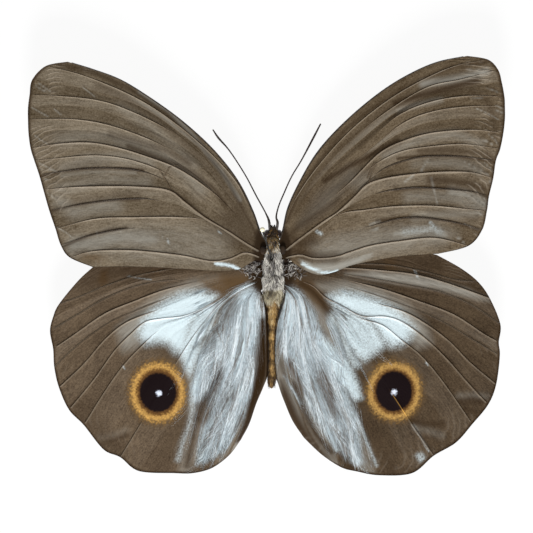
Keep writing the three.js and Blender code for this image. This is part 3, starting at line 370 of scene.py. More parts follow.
forewingRightMarks = [
    ("ash", 0.42, 4.5, 0, [(7.7, 3.8), (12, 5.7), (16.7, 6.6), (24.3, 7.6), (31.9, 7.6), (34.7, 6.2),
     (32.8, 4.3), (24.3, 2.6), (14.8, 1.1), (11.1, -0.4), (7.7, 1.1)]),
    ("ash", 0.85, 1.6, 1.2, [(28.6, 34.4), (32.8, 35), (36.6, 35.7), (40.6, 36.7)]),
    ("ash", 0.45, 1.4, 0.9, [(23.9, 29.5), (28.1, 30.6), (31.9, 31.4)]),
    ("ash", 0.5, 3, 1, [(21.5, 20.8), (24.3, 22.3), (29, 24.2), (34.7, 24.8), (39.4, 23.3)]),
    ("ash", 0.4, 3.4, 0.8, [(27.1, 19.3), (30, 19.7), (35.6, 19.7), (39.4, 18.5)]),
    ("ash", 0.55, 3.4, 1, [(25.8, 13), (29, 13.2), (34.7, 12.9), (39, 11)]),
    ("ash", 0.35, 4, 0, [(13.9, 15.3), (17.7, 14.4), (19, 17.2), (14.8, 18.5), (9.2, 13.4), (5.4, 7.8),
     (11.1, 11.5)]),
    ("dusk", 0.55, 0.5, 0.16, [(27.1, 32.9), (21.5, 29.5), (16.7, 25.3), (12.6, 20.8)], [(25.2, 29.5),
     (20.5, 26.5), (15.8, 22.3), (12.2, 18.5)]),
    ("dusk", 0.5, 0.5, 0.16, [(11.1, 18.5), (8.8, 15.1), (7.3, 12.5)]),
    ("dusk", 0.75, 1.4, 0.8, [(40.6, 38.6), (34.1, 37.6), (29, 35.5), (23.9, 32.9), (18.6, 29.5), (13.9, 25.7),
     (9.2, 20), (5.4, 14.4), (2.9, 8.3)]),
    ("dusk", 0.45, 2.4, 1.4, [(37.5, 37.1), (31.9, 35.2), (25.2, 31.8), (18.6, 27.2), (13, 22.3), (7.7, 16.3),
     (4.3, 9.6)]),
    ("dusk", 0.9, 1.8, 1.5, [(23.4, 30.8), (28.1, 32.3), (32.8, 33.5), (38.7, 35)]),
    ("ash", 0.55, 3.4, 1.2, [(27.1, 9.3), (30, 9.6), (34.7, 9.8), (39, 10.2)]),
    ("ash", 0.8, 3, 1.4, [(34.1, 14), (37.5, 13.2), (40.2, 11.7)]),
    # Painted shade along the upper edge of the cell.
    ("dusk", 0.85, 1.3, 1.2, [(23.9, 23.6), (19.6, 21.4), (14.8, 18.9), (10.1, 16.1)]),
    ("dusk", 0.45, 2, 1.3, [(37.5, 33.3), (40.6, 31.4), (41.9, 28.6), (42.1, 24.8)]),
    # Fold lines: painted shade in each fold and above it, and a painted sheen below it, as light from the tail
    # falls on the pleats.
    ("dusk", 0.9, 0.8, 0.5, [(23.9, 20.3), (28.8, 20.9), (33.8, 20.9), (38.3, 20.3), (42.1, 19.8)],
     [(23.4, 14.4), (28.8, 14.9), (33.8, 14.8), (37.9, 14.2), (40.7, 13.1)], [(19.9, 8.5), (24.3, 9.1),
     (28.8, 9.2), (33.8, 8.5), (39, 6.9)]),
    ("dusk", 0.65, 1.6, 1.1, [(28.1, 21.7), (33.8, 21.9), (38.5, 21.4), (41.3, 20.6)]),
    ("dusk", 0.75, 1.8, 1.5, [(30, 16.3), (33.8, 16.1), (37.5, 15.5), (40.2, 14.4)]),
    ("dusk", 0.35, 1.8, 1.2, [(30, 10.2), (34.7, 10), (38.3, 8.9)]),
    ("ash", 0.55, 2.6, 0.8, [(29.2, 19.5), (32.8, 19.5), (36.6, 18.9), (39.4, 17.8)]),
    ("dusk", 0.5, 5, 0, [(3.5, 4.9), (5.4, 10.6), (9.2, 15.3), (13.9, 19.1), (17.7, 20), (19, 17.8), (14.8, 14),
     (10.1, 10.6), (6.3, 6.4)]),
    ("dusk", 0.7, 2.4, 1.8, [(2.6, 4.9), (5.4, 7.8), (9.2, 10.2), (12.6, 12.5)]),
    ("dusk", 0.7, 2, 1.8, [(3.1, 3), (5.4, 2.5), (8.8, 1.7), (12, 1.7)]),
    ("dusk", 0.65, 3, 2.4, [(3.5, 5.9), (5.4, 4), (7.7, 4.9)]),
    # Painted sheen and a painted highlight along the rolled inner margin.
    ("ash", 0.95, 1.4, 0, [(5.4, 1.1), (8, 0.4), (11.8, 0.4), (14.8, 1.3), (19, 2.5), (19, 1.7), (15.2, 0),
     (11.8, -1.3), (8.8, -1.5), (6.5, -0.8)]),
    ("pale", 1, 0.4, 0.4, [(5.8, 0.5), (7.7, -0.5), (9.5, -1.2), (11.1, -1.3), (12.4, -0.9)]),
    ("pale", 0.7, 0.9, 0.3, [(8.6, 6.5), (9.4, 6.1)]),
    ("ash", 0.9, 0.6, 0.3, [(18.6, 7.8), (19.8, 8.3), (20.5, 8.5)], [(18.4, 6.4), (20.1, 7.2)]),
    ("ash", 0.95, 2.2, 0.8, [(23.4, 6.1), (26.6, 6.6), (30.3, 7), (32.8, 5.9)]),
    ("pale", 0.3, 2, 0.4, [(25.2, 6.4), (30.3, 7), (31.9, 6.4)]),
    ("pale", 0.4, 0.6, 0.3, [(30, 8.3), (31.1, 7)]),
    ("ash", 0.8, 0.8, 0.3, [(30.2, 16.6), (30.7, 14.4), (31.3, 11.9)]),
    ("ash", 0.8, 0.6, 0.3, [(29.6, 20), (28.8, 18.9), (28.3, 18)], [(26.8, 17.2), (25.2, 15.9)]),
]
hindwingLeftMarks = [
    # Darker costal band: its own dark brown, with painted shade where the forewing lies over it.
    ("dusk", 0.6, 3, 0, [(-34.7, 0.8), (-6, 0.4), (-5.2, -0.8), (-10.7, -1.1), (-17.3, -1.3), (-23, -1.9),
     (-29.6, -3.4), (-35.5, -4.5), (-38.1, -4.5)]),
    ("ash", 0.7, 3.5, 0, [(-29, -12.1), (-26.4, -9.5), (-23, -6.8), (-19.2, -4.5), (-15, -3), (-10.5, -2.5),
     (-9.4, -3.8), (-14.1, -4.3), (-17.1, -5.1), (-20.1, -6.4), (-22.6, -9.1), (-24.5, -12.1), (-24.9, -14.9),
     (-27.9, -15.9)]),
    ("ash", 0.5, 2.5, 0, [(-16.5, -18.2), (-15.2, -20.4), (-14.1, -21.2), (-14.1, -25.3), (-15.4, -28.2),
     (-16.2, -25.3), (-16.5, -21.6)]),
    ("dusk", 0.35, 4, 3, [(-35.8, -26.3), (-33.9, -29.1), (-31.7, -31.8), (-29, -34)]),
    ("warm", 0.8, 2.4, 0, [(-13.3, -2.8), (-9.4, -1.9), (-4.1, -1.7), (-4.1, -3.6), (-6.3, -5.3), (-8, -6.8),
     (-10.1, -6.4), (-12, -4.5)]),
    ("warm", 0.8, 1.4, 0, [(-32.2, -0.8), (-31.1, -0.8), (-30.9, -3), (-32, -3.8), (-32.8, -2.8)]),
    ("warm", 0.35, 1.4, 0, [(-22.8, -0.4), (-21.1, -0.4), (-21.1, -1.9), (-22.4, -2.1)]),
    ("silk", 1, 3, 0, [(-4.1, -3.8), (-6, -4.9), (-8.2, -7.2), (-10.5, -12.1), (-12, -15.5), (-13.5, -19.3),
     (-14.8, -23.1), (-14.7, -25), (-12.6, -23.8), (-11.2, -25), (-11.2, -28.7), (-11.6, -32.9), (-12.4, -36.3),
     (-9.7, -34.8), (-6.7, -30.6), (-4.8, -25.7), (-3.3, -20), (-2.6, -14), (-2.2, -8.3), (-2.9, -4.9)]),
    ("pale", 0.95, 3, 0, [(-10.5, -5.7), (-14.1, -4.9), (-17.1, -5.3), (-19.8, -6.6), (-22.4, -8.5),
     (-24.3, -10.6), (-25.1, -12.9), (-23.7, -14.7), (-21.5, -14.4), (-19.6, -14.7), (-18.1, -16.4),
     (-16.2, -15.9), (-15, -10.6), (-11.6, -7.6)]),
    ("pale", 0.8, 2.2, 0, [(-9.4, -6.8), (-12.6, -7.6), (-15, -9.8), (-16.9, -14), (-17.7, -16.3),
     (-16.5, -18.5), (-15.4, -20.8), (-14.3, -18.9), (-12.6, -14), (-10.9, -9.8)]),
    ("pale", 0.8, 2, 0, [(-9.4, -13.2), (-11.6, -15.9), (-13.7, -19.3), (-15, -22.7), (-14.8, -24.6),
     (-13.5, -23.3), (-12, -21.2), (-10.9, -18.9), (-9.4, -15.9), (-8.2, -13.2)]),
    ("pale", 0.75, 2, 0, [(-4.1, -6.4), (-5.6, -8.7), (-7.5, -14), (-8.2, -18.9), (-6.7, -20.8), (-4.8, -18.2),
     (-3.5, -12.1)]),
    ("pale", 0.42, 1.6, 0.5, [(-15, -23.8), (-15, -27.6), (-15.6, -30.3), (-16.7, -33.1), (-17.7, -36.7)]),
    ("pale", 0.65, 1.8, 0, [(-13, -31), (-10.9, -27.6), (-8.6, -25.3), (-6, -23.8), (-4.8, -23.8),
     (-5.2, -27.2), (-6.7, -31), (-9, -34), (-11.2, -36.1), (-14.1, -37.6), (-13.9, -34.8)]),
    ("pale", 0.4, 0.5, 0.25, [(-2.6, -15.9), (-3.5, -18.9), (-3.7, -21.2), (-3.7, -23.4), (-4.4, -26.3)]),
    ("dusk", 0.7, 1.4, 1.4, [(-9.9, -20), (-10.9, -22.3), (-12.2, -24.6), (-13.3, -26.8), (-14.1, -29.1)]),
    ("dusk", 0.65, 1.2, 0.8, [(-13.3, -26.1), (-14.1, -28.7), (-14.7, -31.8), (-15.4, -34.8), (-16, -37.8)]),
    ("fawn", 0.42, 2.6, 0, [(-9.7, -20.4), (-7.8, -21.9), (-6.3, -22.3), (-6, -24.2), (-7.8, -25),
     (-10.1, -27.2), (-12, -29.1), (-12.8, -29.1), (-12.4, -25.7), (-11.1, -22.7)]),
    ("fawn", 0.48, 2.6, 0, [(-10.1, -6.1), (-6.3, -5.1), (-6.5, -7.6), (-8, -10.6), (-9.5, -12.9),
     (-11.1, -12.5), (-11.1, -9.8)]),
    ("fawn", 0.35, 1.6, 0, [(-13, -13.6), (-11.1, -12.1), (-10.3, -14), (-11.8, -16.3), (-13.5, -15.9)]),
    ("fawn", 0.5, 1.5, 0, [(-6, -29.1), (-4.8, -25.3), (-4.1, -25.3), (-4.4, -29.1), (-6.3, -32.9),
     (-7.8, -34)]),
    # Painted shade on the inner margin, which rolls down beside the abdomen.
    ("dusk", 1, 1.2, 0, [(-2.2, -9.8), (-2.6, -14.9), (-2.9, -18.9), (-3.5, -22.3), (-4.3, -26.1), (-5, -29.1),
     (-6.7, -33.3), (-5.2, -33.7), (-3.7, -30.1), (-2.2, -25.3), (-0.9, -20.6), (-0.7, -14.9), (-1, -9.8)]),
    ("pale", 0.85, 0.6, 0.35, [(-9.7, -6.8), (-11.1, -10.6), (-12.4, -13.6), (-13.5, -17), (-14.3, -20)]),
    ("dusk", 0.4, 0.4, 0.2, [(-10.2, -6.8), (-11.5, -10.6), (-12.9, -13.6), (-14, -17)]),
    ("dusk", 0.45, 0.8, 0.5, [(-11.1, -12.3), (-9.7, -11.3)]),
    ("dusk", 0.5, 0.8, 0.7, [(-14.7, -15.5), (-13.5, -14.7), (-12.4, -13.2)]),
    ("dusk", 0.6, 1.4, 1, [(-32.8, -33.7), (-30.2, -33.1), (-27.3, -32)]),
    ("dusk", 0.5, 1.2, 0.8, [(-38.9, -26.8), (-36.6, -26.3)], [(-37.3, -27.6), (-35.5, -28.7), (-34.3, -30.3)]),
    ("ash", 0.14, 1.6, 1, [(-32.4, -32.5), (-29.8, -32), (-27.5, -31)]),
    ("dusk", 0.35, 3, 2, [(-23.9, -15.1), (-21.1, -15.1), (-18.2, -17)]),
    ("pale", 0.5, 0.3, 0.2, [(-28.1, -18.9), (-27.9, -19.3)]),
    ("pale", 0.35, 0.3, 0.15, [(-27.3, -1.9), (-25.1, -2.3), (-22.8, -2.6)]),
]
hindwingRightMarks = [
    # Darker costal band: its own dark brown, with painted shade where the forewing lies over it.
    ("dusk", 0.45, 3, 0, [(11.1, -0.4), (16.7, 0.8), (24.3, 1.9), (31.9, 1.9), (37.5, -1.9), (41.3, -6.4),
     (39, -5.3), (33.8, -1.9), (28.1, -0.8), (20.5, -0.4), (14.8, -0.9), (12, -1.5)]),
    ("ash", 0.65, 1.8, 0, [(14.1, -1.5), (19.4, -1.1), (25.4, -1.7), (31.3, -2.8), (37.2, -4.5), (41.3, -6.6),
     (38.7, -6.2), (31.3, -4.2), (25.4, -3.4), (19.4, -2.5)]),
    ("ash", 0.7, 3.5, 0, [(8.8, -3.8), (13.9, -3.2), (20.5, -4.9), (25.8, -7.4), (28.8, -11.2), (30, -14.4),
     (27.7, -15.1), (25.8, -12.9), (24.3, -10.6), (20.9, -7.2), (15.8, -5.3), (11.4, -4.9)]),
    ("ash", 0.55, 2.5, 0, [(7.7, -6.8), (10.3, -7.6), (12.6, -10.2), (13.7, -14.9), (12.2, -15.9), (10.7, -14),
     (9.2, -11.2)]),
    ("warm", 0.9, 2, 0, [(5, -2.6), (7.7, -3.4), (9.9, -5.9), (11.1, -7.9), (9.9, -8.7), (8, -7.2), (6, -4.9)]),
    ("dusk", 0.8, 2, 1.4, [(5.8, -3.4), (7.7, -4.7), (9.5, -6.8), (10.7, -8.7)]),
    ("warm", 0.4, 1.6, 0, [(21.3, 1.5), (23.4, 1.7), (23.5, -0.8), (21.6, -1.1)]),
    ("silk", 1, 3, 0, [(2.6, -3.8), (5.4, -5.3), (7.8, -8.7), (9.5, -13.2), (10.9, -17.2), (12.2, -21.6),
     (14.5, -24.6), (15.8, -29.1), (16.5, -33.8), (16.4, -37.1), (14.5, -35.9), (12.2, -33.3), (9.9, -30.6),
     (8, -26.8), (6.1, -22.7), (3.5, -18.2), (2, -14.9), (1.4, -11.2), (1.8, -6.4)]),
    ("pale", 0.9, 3.4, 0, [(11.1, -5.9), (13.5, -5.1), (16.7, -5.5), (20.7, -6.8), (23.7, -8.5), (25.4, -10.2),
     (26.8, -12.1), (25.8, -13.8), (24.3, -14.7), (22.6, -14.9), (21.3, -14), (19.8, -11.7), (17.9, -9.8),
     (14.5, -8.9), (12.2, -7.6)]),
    ("pale", 0.75, 2.4, 0, [(11.8, -7.4), (14.5, -8.7), (17.9, -9.8), (19.8, -11.7), (21.3, -14.4),
     (21.3, -15.3), (19.4, -16.6), (17.7, -17.8), (16.4, -17.2), (15.2, -15.9), (14.1, -14.7), (13.1, -12.5),
     (12.4, -9.8)]),
    ("pale", 0.8, 2, 0, [(9.2, -13.6), (11.1, -14.4), (12.6, -16.1), (14.3, -17.6), (15.4, -20), (16.4, -22.5),
     (17.1, -25), (15.8, -25.3), (14.1, -23.4), (12.2, -21.6), (11.1, -19.5), (10.3, -17.8)]),
    ("pale", 0.6, 2, 0, [(2.4, -6.4), (3.9, -8.3), (5, -13), (6.5, -16.8), (5.4, -18.2), (3.5, -16.3),
     (2.4, -13)]),
    ("pale", 0.65, 0.9, 0.45, [(5.4, -15.9), (7.3, -21.9), (9, -26.1), (10.7, -30.8), (12.4, -34.8)]),
    ("pale", 0.55, 1.6, 1.3, [(10.7, -27.6), (13, -31), (14.7, -34.4), (16, -36.7)]),
    ("pale", 0.6, 2, 1.6, [(11.4, -9.8), (12.8, -13.2), (14.3, -15.9), (16, -18.5)]),
    ("pale", 0.8, 1.6, 1.4, [(5, -14), (6, -17.4), (6.7, -20.4)]),
    ("pale", 0.5, 0.8, 0.3, [(16.2, -28.7), (17.5, -31.8), (18.8, -35.2), (19.9, -37.8)]),
    ("pale", 0.6, 0.5, 0.25, [(2.4, -20.8), (3.9, -23.3), (5.6, -26.1)]),
    ("dusk", 0.5, 1.4, 0, [(1.4, -17), (2.2, -18.2), (3.1, -21.6), (3.5, -23.8), (2.6, -22.3), (1.6, -18.9)]),
    ("fawn", 0.5, 2.4, 0, [(6.5, -4.9), (8.4, -6.4), (10.3, -9.1), (12.2, -12.9), (12.6, -14.7), (11.1, -14.4),
     (9.2, -11.7), (7.3, -7.9)]),
    ("fawn", 0.36, 2.4, 0, [(7.3, -17.8), (9.5, -18.9), (11.8, -22.7), (13.7, -25.7), (14.8, -29.1),
     (12.6, -28.4), (9.9, -24.2), (7.7, -20.4)]),
    ("fawn", 0.9, 1.4, 0, [(2.4, -17), (4.3, -17.8), (6, -23.1), (5.8, -25), (4.3, -21.9), (2.4, -18.9)]),
    ("dusk", 0.85, 2.2, 0, [(1.8, -21.6), (3.1, -23.8), (5, -28), (7.3, -31.8), (8.8, -34), (11.1, -37.1),
     (8.8, -35.9), (5.4, -32.9), (3.1, -28.4), (1.8, -24.6)]),
    ("dusk", 0.45, 2.4, 2, [(5.8, -31), (8, -33.7), (10.3, -36.3)]),
    ("dusk", 0.45, 1.4, 0.7, [(3.5, -18.2), (5, -20.8), (6.5, -23.8)]),
    ("dusk", 0.8, 1.2, 0.9, [(4.4, -22.3), (5.6, -25.3), (6.9, -28.7), (8.4, -31.8), (11.1, -35.2)]),
    ("dusk", 0.5, 1.8, 1.4, [(9.2, -21.6), (10.7, -24.6), (13, -29.1), (14.8, -32.9)]),
    ("dusk", 0.5, 0.8, 0.5, [(13.9, -23.1), (15.2, -25.3), (16.7, -28.4), (18.2, -32.9)]),
    ("dusk", 0.45, 0.7, 0.4, [(11.2, -7.9), (12.6, -11.7), (13.9, -15.9)]),
    # Painted shade beside the abdomen, where the wing curves away.
    ("dusk", 0.4, 2, 1, [(1.5, -6.4), (1.3, -10.2), (1.4, -14.9)]),
    ("dusk", 0.65, 1.4, 1, [(35.6, -25.5), (38.3, -25.3), (40.9, -25.9)], [(26.4, -29.1), (29, -29.9),
     (32.2, -29.9)]),
    ("dusk", 0.6, 1.2, 0.9, [(36.6, -27), (38.5, -27.8), (39.4, -29.3)]),
    ("ash", 0.25, 1.6, 1, [(35.5, -24.6), (38.3, -24.4), (40.9, -24.8)]),
    ("ash", 0.22, 1.6, 1, [(27.3, -30.6), (30, -31.2), (32.2, -32.1)]),
    ("pale", 0.4, 1, 0, [(27.1, -35.7), (28.5, -35.4), (29.2, -36.3), (28.1, -37.2)]),
    ("pale", 0.5, 0.3, 0.2, [(29.2, -18.3), (29.6, -18.7)]),
    ("pale", 0.4, 0.3, 0.2, [(27.1, -0.8), (27.7, -2.3)]),
    ("warm", 0.8, 0.4, 0.25, [(24.7, -27), (26.6, -29.9)]),
    ("pale", 0.35, 0.35, 0.2, [(26.6, -29.9), (28.3, -32.5), (29.8, -35)]),
    ("pale", 0.3, 0.35, 0.25, [(24.7, -18.3), (26.2, -20.6), (27.7, -23.1)]),
]

# The right wings' base colours are darker than the left's: partly their own colour, partly painted shade, as light
# falls differently on the two sides.
wings = {
    "forewing_left": {
        "front": (-0.9, 4.3), "back": (-1.2, 1.1), "height": 5.6, "slope": 0.03, "lines": forewingLeftLines,
        "marks": forewingLeftMarks, "paintedPleatShade": 0.7, "seed": 3, "wrinkled": 0.7, "veinHighlight": 0.42,
        "dark": "#40321d", "light": "#7f725f",
        "veins": [("costa", 0, 0.26), ("subcosta", 0.1, 0.06), ("radius1", 0.5, 0.06), ("radius2", 0.5, 0.06),
                  ("radius3", 0.25, 0.09), ("media2", 0.46, 0.06), ("cubitus1", 0.04, 0.12),
                  ("cubitus2", 0.34, 0.08), ("anal", 0.04, 0.1), ("fold4", 0.5, 0.1), ("fold5", 0.52, 0.1),
                  ("fold6", 0.64, 0.09)],
        "crossVeins": [[(-19.2, 14.7), (-20.3, 16.8), (-21.2, 18.2)],
            [(-20.3, 16.8), (-19.2, 18.7), (-17.7, 19.1)]],
        "creases": [[(-44.1, 34.6), (-42.8, 33.7), (-41.7, 32.9)], [(-44.5, 34), (-43.4, 33.3), (-42.4, 32.9)],
            [(-45.2, 29.9), (-43.8, 29.1), (-42.2, 28.2)], [(-41.1, 29.7), (-39.8, 28.6)],
            [(-44.6, 24.6), (-43.6, 23.8), (-42.4, 23.1)], [(-43.9, 19.5), (-42.4, 18.7), (-40.7, 18)],
            [(-43.6, 18.2), (-41.9, 18.2), (-40.5, 17.8)], [(-42.2, 13.6), (-41.1, 13), (-40.2, 12.2)],
            [(-40.5, 7.3), (-38.9, 6.4), (-37.5, 5.3)], [(-35.6, 33.7), (-34.5, 32.9), (-33.4, 32)],
            [(-42.8, 16.3), (-41.9, 16.7)], [(-39.6, 3.8), (-38.5, 4.3)]],
    },
    "forewing_right": {
        "front": (1.4, 4.3), "back": (1.6, 1.1), "height": 5.6, "slope": 0.03, "lines": forewingRightLines,
        "marks": forewingRightMarks, "paintedPleatShade": 1, "seed": 5, "wrinkled": 0.9, "veinHighlight": 0.4, "dark": "#392912",
        "light": "#7b6c57",
        "veins": [("costa", 0, 0.26), ("subcosta", 0.1, 0.05), ("radius1", 0.5, 0.05), ("radius2", 0.55, 0.06),
                  ("radius3", 0.55, 0.06), ("radius4", 0.3, 0.09), ("media2", 0.46, 0.06),
                  ("cubitus1", 0.04, 0.12), ("cubitus2", 0.3, 0.08), ("anal", 0.04, 0.1), ("fold3", 0.5, 0.1),
                  ("fold4", 0.5, 0.1), ("fold5", 0.43, 0.09)],
        "crossVeins": [[(18.4, 15.9), (18.8, 17), (19.8, 19.5)], [(18.1, 16.6), (19.4, 19.5)]],
        "creases": [[(36.7, 37.1), (39, 37.1), (41, 36.6)], [(40.7, 33.5), (41.7, 33.3), (42.8, 32.8)],
            [(38.7, 29.8), (40.7, 28.9), (42.8, 27.7)], [(42.4, 30.3), (43.8, 29.7)],
            [(42.3, 29.5), (43.8, 28.9)], [(39, 24), (40.6, 23.6), (41.7, 22.9)],
            [(41, 24.8), (42.1, 24), (42.8, 22.9)], [(36.4, 19.7), (38.7, 18.5), (41, 17.2)],
            [(40.3, 19.5), (41.1, 18.7), (41.9, 17.9)], [(36, 14), (38.5, 12.5), (40.6, 10.6)],
            [(38.7, 13.5), (39.6, 12.7), (40.6, 11.4)], [(39.4, 13.4), (40.7, 12.3)],
            [(36.4, 8), (37.7, 7.4), (39, 6.9)], [(34.8, 5.5), (35.8, 4.9), (36.4, 4.3)],
            [(40.9, 16.3), (41.7, 15.7)], [(37.5, 31.6), (39.8, 31.8)], [(39.4, 9.8), (40.2, 9.5)]],
    },
    "hindwing_left": {
        "front": (-1, -0.2), "back": (-0.9, -3.4), "height": 4.7, "slope": 0.022, "tuck": 0.75,
        "lines": hindwingLeftLines, "marks": hindwingLeftMarks, "paintedPleatShade": 0.4, "seed": 7, "wrinkled": 0.15,
        "veinHighlight": 0.26, "dark": "#3a2d20", "light": "#705f4b",
        "eyespot": {"middle": (-21.5, -23.9), "black": (3.5, 3.72), "ring": (5.45, 5.95),
                    "pupil": (-21.3, -24.1), "halo": "#5f4727", "gold": "#e2b060", "sunk": 0.6},
        "veins": [("subcosta", 0.4, 0.06), ("radius", 0.35, 0.07), ("sector", 0.35, 0.09),
                  ("media1", 0.4, 0.06), ("media2", 0.48, 0.08), ("media3", 0.16, 0.08),
                  ("cubitus1", 0.5, 0.08), ("cubitus2", 0.2, 0.06)],
        "crossVeins": [],
    },
    "hindwing_right": {
        "front": (1.4, 0), "back": (1.2, -3.4), "height": 4.7, "slope": 0.022, "tuck": -0.8,
        "lines": hindwingRightLines, "marks": hindwingRightMarks, "paintedPleatShade": 0.5, "seed": 9, "wrinkled": 0.25,
        "veinHighlight": 0.22, "dark": "#2b1f12", "light": "#5c4c39",
        "eyespot": {"middle": (23.2, -23.7), "black": (3.45, 3.8), "ring": (5.3, 5.8), "pupil": (23.2, -23.9),
                    "halo": "#5f4727", "gold": "#cfa35b", "sunk": 0.08},
        "veins": [("subcosta", 0.35, 0.06), ("fold2", 0.2, 0.09), ("radius", 0.25, 0.07), ("sector", 0.3, 0.09),
                  ("media1", 0.3, 0.06), ("media2", 0.42, 0.09), ("media3", 0.1, 0.1), ("cubitus1", 0.36, 0.08),
                  ("cubitus2", 0.62, 0.09)],
        "crossVeins": [],
    },
}
sheet = {
    "columns": 210,  # steps from root to margin
    "between": (0, 0.05, 0.12, 0.22, 0.36, 0.5, 0.64, 0.78, 0.88, 0.95),  # rows from one line to the next
    "thickness": 0.18, "edge": 0.1, "root": 0.42,
    "relief": 0.5, "deepFold": -0.5,  # pleats lie a little flatter than they were drawn, but for deep folds
    "veinHeight": 0.1, "veinWidth": 0.26,  # the membrane rises a little over each vein
    "ripple": 0.06, "rippleLength": 4.0, "rippleWidth": 0.55, "crowdLength": 6, "crowdWidth": 3,
    "wrinkle": 0.05, "wrinkleStep": 1.1,  # short slanting folds inside the outer margin
    "fanLength": 45, "fanStep": 2.6,  # size of the coordinates that run along and across the veins
    "tuckDepth": 2.1, "tuckShares": (0.2, 0.4, 0.6, 0.8, 1),
}
colourLayers = ("ash", "warm", "silk", "pale", "fawn", "dusk")


def wingRows(wing):  # rows from front to back, with columns from root to margin, and how far each point rises
    lines, last = wing["lines"], len(wing["lines"]) - 1
    front, back = np.array(wing["front"]), np.array(wing["back"])
    roots = [front + (back - front) * n / last for n in range(last + 1)]
    paths = np.array([smoothPath([root] + line[2], sheet["columns"]) for root, line in zip(roots, lines)])
    rises = np.array([line[1] * (1 if line[1] < sheet["deepFold"] else sheet["relief"]) for line in lines])
    rows = [n + t for n in range(last) for t in sheet["between"]] + [last]
    growth = smoothStep(np.linspace(0, 1, sheet["columns"] + 1), 0.08, 0.6)
    flat, rise = [], []
    for row in rows:
        n = min(int(row), last - 1)
        t = row - n
        a, b, c, d = (paths[min(max(k, 0), last)] for k in (n - 1, n, n + 1, n + 2))
        flat.append(b + 0.5 * t * (c - a + t * (2 * a - 5 * b + 4 * c - d + t * (3 * b - a - 3 * c + d))))
        swing = 0.5 * t + 0.5 * t * t * (3 - 2 * t)
        rise.append((rises[n] + (rises[n + 1] - rises[n]) * swing) * growth)
    return rows, paths, rises, growth, np.array(flat), np.array(rise)


def veinGaps(wing, rows, paths, rises, flat, along):  # mm to the shaded and the lit side of the nearest vein, for painted shade and a painted highlight
    flatPoints, shape = flat.reshape(-1, 2), flat.shape[:2]
    rowNumber = np.repeat(np.array(rows)[:, None], shape[1], 1)
    names = [line[0] for line in wing["lines"]]
    far, otherSide = 9.0, 0.7
    gaps = {side: np.full(shape, far) for side in ("dark", "light")}
    for veinName, start, radius in wing["veins"]:
        line = names.index(veinName)
        weight = min(max(radius / 0.1, 0.55), 1.2)
        gap = lineGap(flatPoints, paths[line][int(start * sheet["columns"])::6]).reshape(shape) / weight
        gap += 0.35 * (1 - smoothStep(along, start, start + 0.1))[None] * (start > 0.05)
        inFront = rowNumber < line if rises[line] > 0 else rowNumber > line
        inBack = rowNumber > line if rises[line] > 0 else rowNumber < line
        gaps["dark"] = np.minimum(gaps["dark"], gap + otherSide * inBack)
        if veinName != "costa" and not (veinName.startswith("fold") and rises[line] < 0):
            gaps["light"] = np.minimum(gaps["light"], gap + otherSide * inFront)
    for path in wing["crossVeins"]:
        gaps["dark"] = np.minimum(gaps["dark"], lineGap(flatPoints, path).reshape(shape) + 0.1)
    for side in gaps:
        if "eyespot" in wing:  # veins show little under the scales of the eyespot
            spot = wing["eyespot"]
            away = np.hypot(*np.moveaxis((flat - spot["middle"]) / spot["ring"], -1, 0))
            gaps[side] += spot["sunk"] * smoothStep(away, 1.15, 0.95)
        else:
            gaps[side] += 0.2 * smoothStep(along, 0.8, 0.97)
    return gaps


def wingGrid(wing):  # the upper surface, with what the colours follow
    rows, paths, rises, growth, flat, rise = wingRows(wing)
    along = np.linspace(0, 1, sheet["columns"] + 1)
    gaps = veinGaps(wing, rows, paths, rises, flat, along)
    gap = np.minimum(gaps["dark"], gaps["light"])
    gaps["dark"] = np.minimum(gaps["dark"], 0.5 * smoothStep(along, 0.04, 0.09)[None])  # painted shade on the vein lines beside the body
    fan = np.stack(np.broadcast_arrays(
        along[None] * sheet["fanLength"], np.array(rows)[:, None] * sheet["fanStep"]), -1)

    def fanNoise(length, width, seed):
        values = [noise.noise((u / length, v / width, seed)) for u, v in fan.reshape(-1, 2)]
        return np.array(values).reshape(flat.shape[:2])

    ripple = fanNoise(sheet["rippleLength"], sheet["rippleWidth"], wing["seed"])
    crowd = fanNoise(sheet["crowdLength"], sheet["crowdWidth"], wing["seed"] + 0.5)  # wrinkles come in groups
    nearMargin = smoothStep(along, 0.86, 0.95) * (1 - 0.7 * smoothStep(along, 0.985, 1))
    folds = np.sin(2 * math.pi * (fan[..., 1] / sheet["wrinkleStep"] / 2.6 + fan[..., 0] * 0.5) + 5 * ripple)
    height = wing["height"] + wing["slope"] * np.abs(flat[..., 0]) + rise
    height += sheet["veinHeight"] * np.exp(-((gap / sheet["veinWidth"]) ** 2)) * growth
    height += sheet["ripple"] * ripple * smoothStep(along, 0.08, 0.3)
    height += sheet["wrinkle"] * wing["wrinkled"] * folds * nearMargin * np.clip(crowd * 2 + 0.2, 0, 1)
    drop = np.gradient(rise, axis=0) / np.minimum(np.gradient(flat[..., 1], axis=0), -0.04)
    grid = {"top": np.dstack([flat, height]), "gap": gap, "darkGap": gaps["dark"], "lightGap": gaps["light"],
            "drop": drop, "fan": fan}
    if "tuck" in wing:  # the inner margin turns down beside the abdomen
        reach = smoothStep(along, 0.03, 0.15) * (1 - smoothStep(along, 0.5, 0.66))
        for share in sheet["tuckShares"]:
            strip = grid["top"][len(rows) - 1].copy()
            strip[:, 0] += (wing["tuck"] * reach + 0.01 * np.sign(wing["tuck"])) * share
            strip[:, 2] -= sheet["tuckDepth"] * share**1.4 * reach + 0.01 * share
            for key in ("gap", "darkGap", "lightGap", "drop", "fan"):
                grid[key] = np.concatenate([grid[key], grid[key][-1:] + (0.5 if "ap" in key else 0)])
            grid["top"] = np.concatenate([grid["top"], strip[None]])
    return grid | {"along": along, "edgeRow": len(rows) - 1}


def creaseMarks(creases):  # each short crease is pale where it turns to the light and dark on its other side
    return [(layer, strength, 0.32, 0.13, *([(x, y + lift) for x, y in crease] for crease in creases))
            for layer, strength, lift in (("ash", 0.85, 0), ("dusk", 0.6, 0.32))]


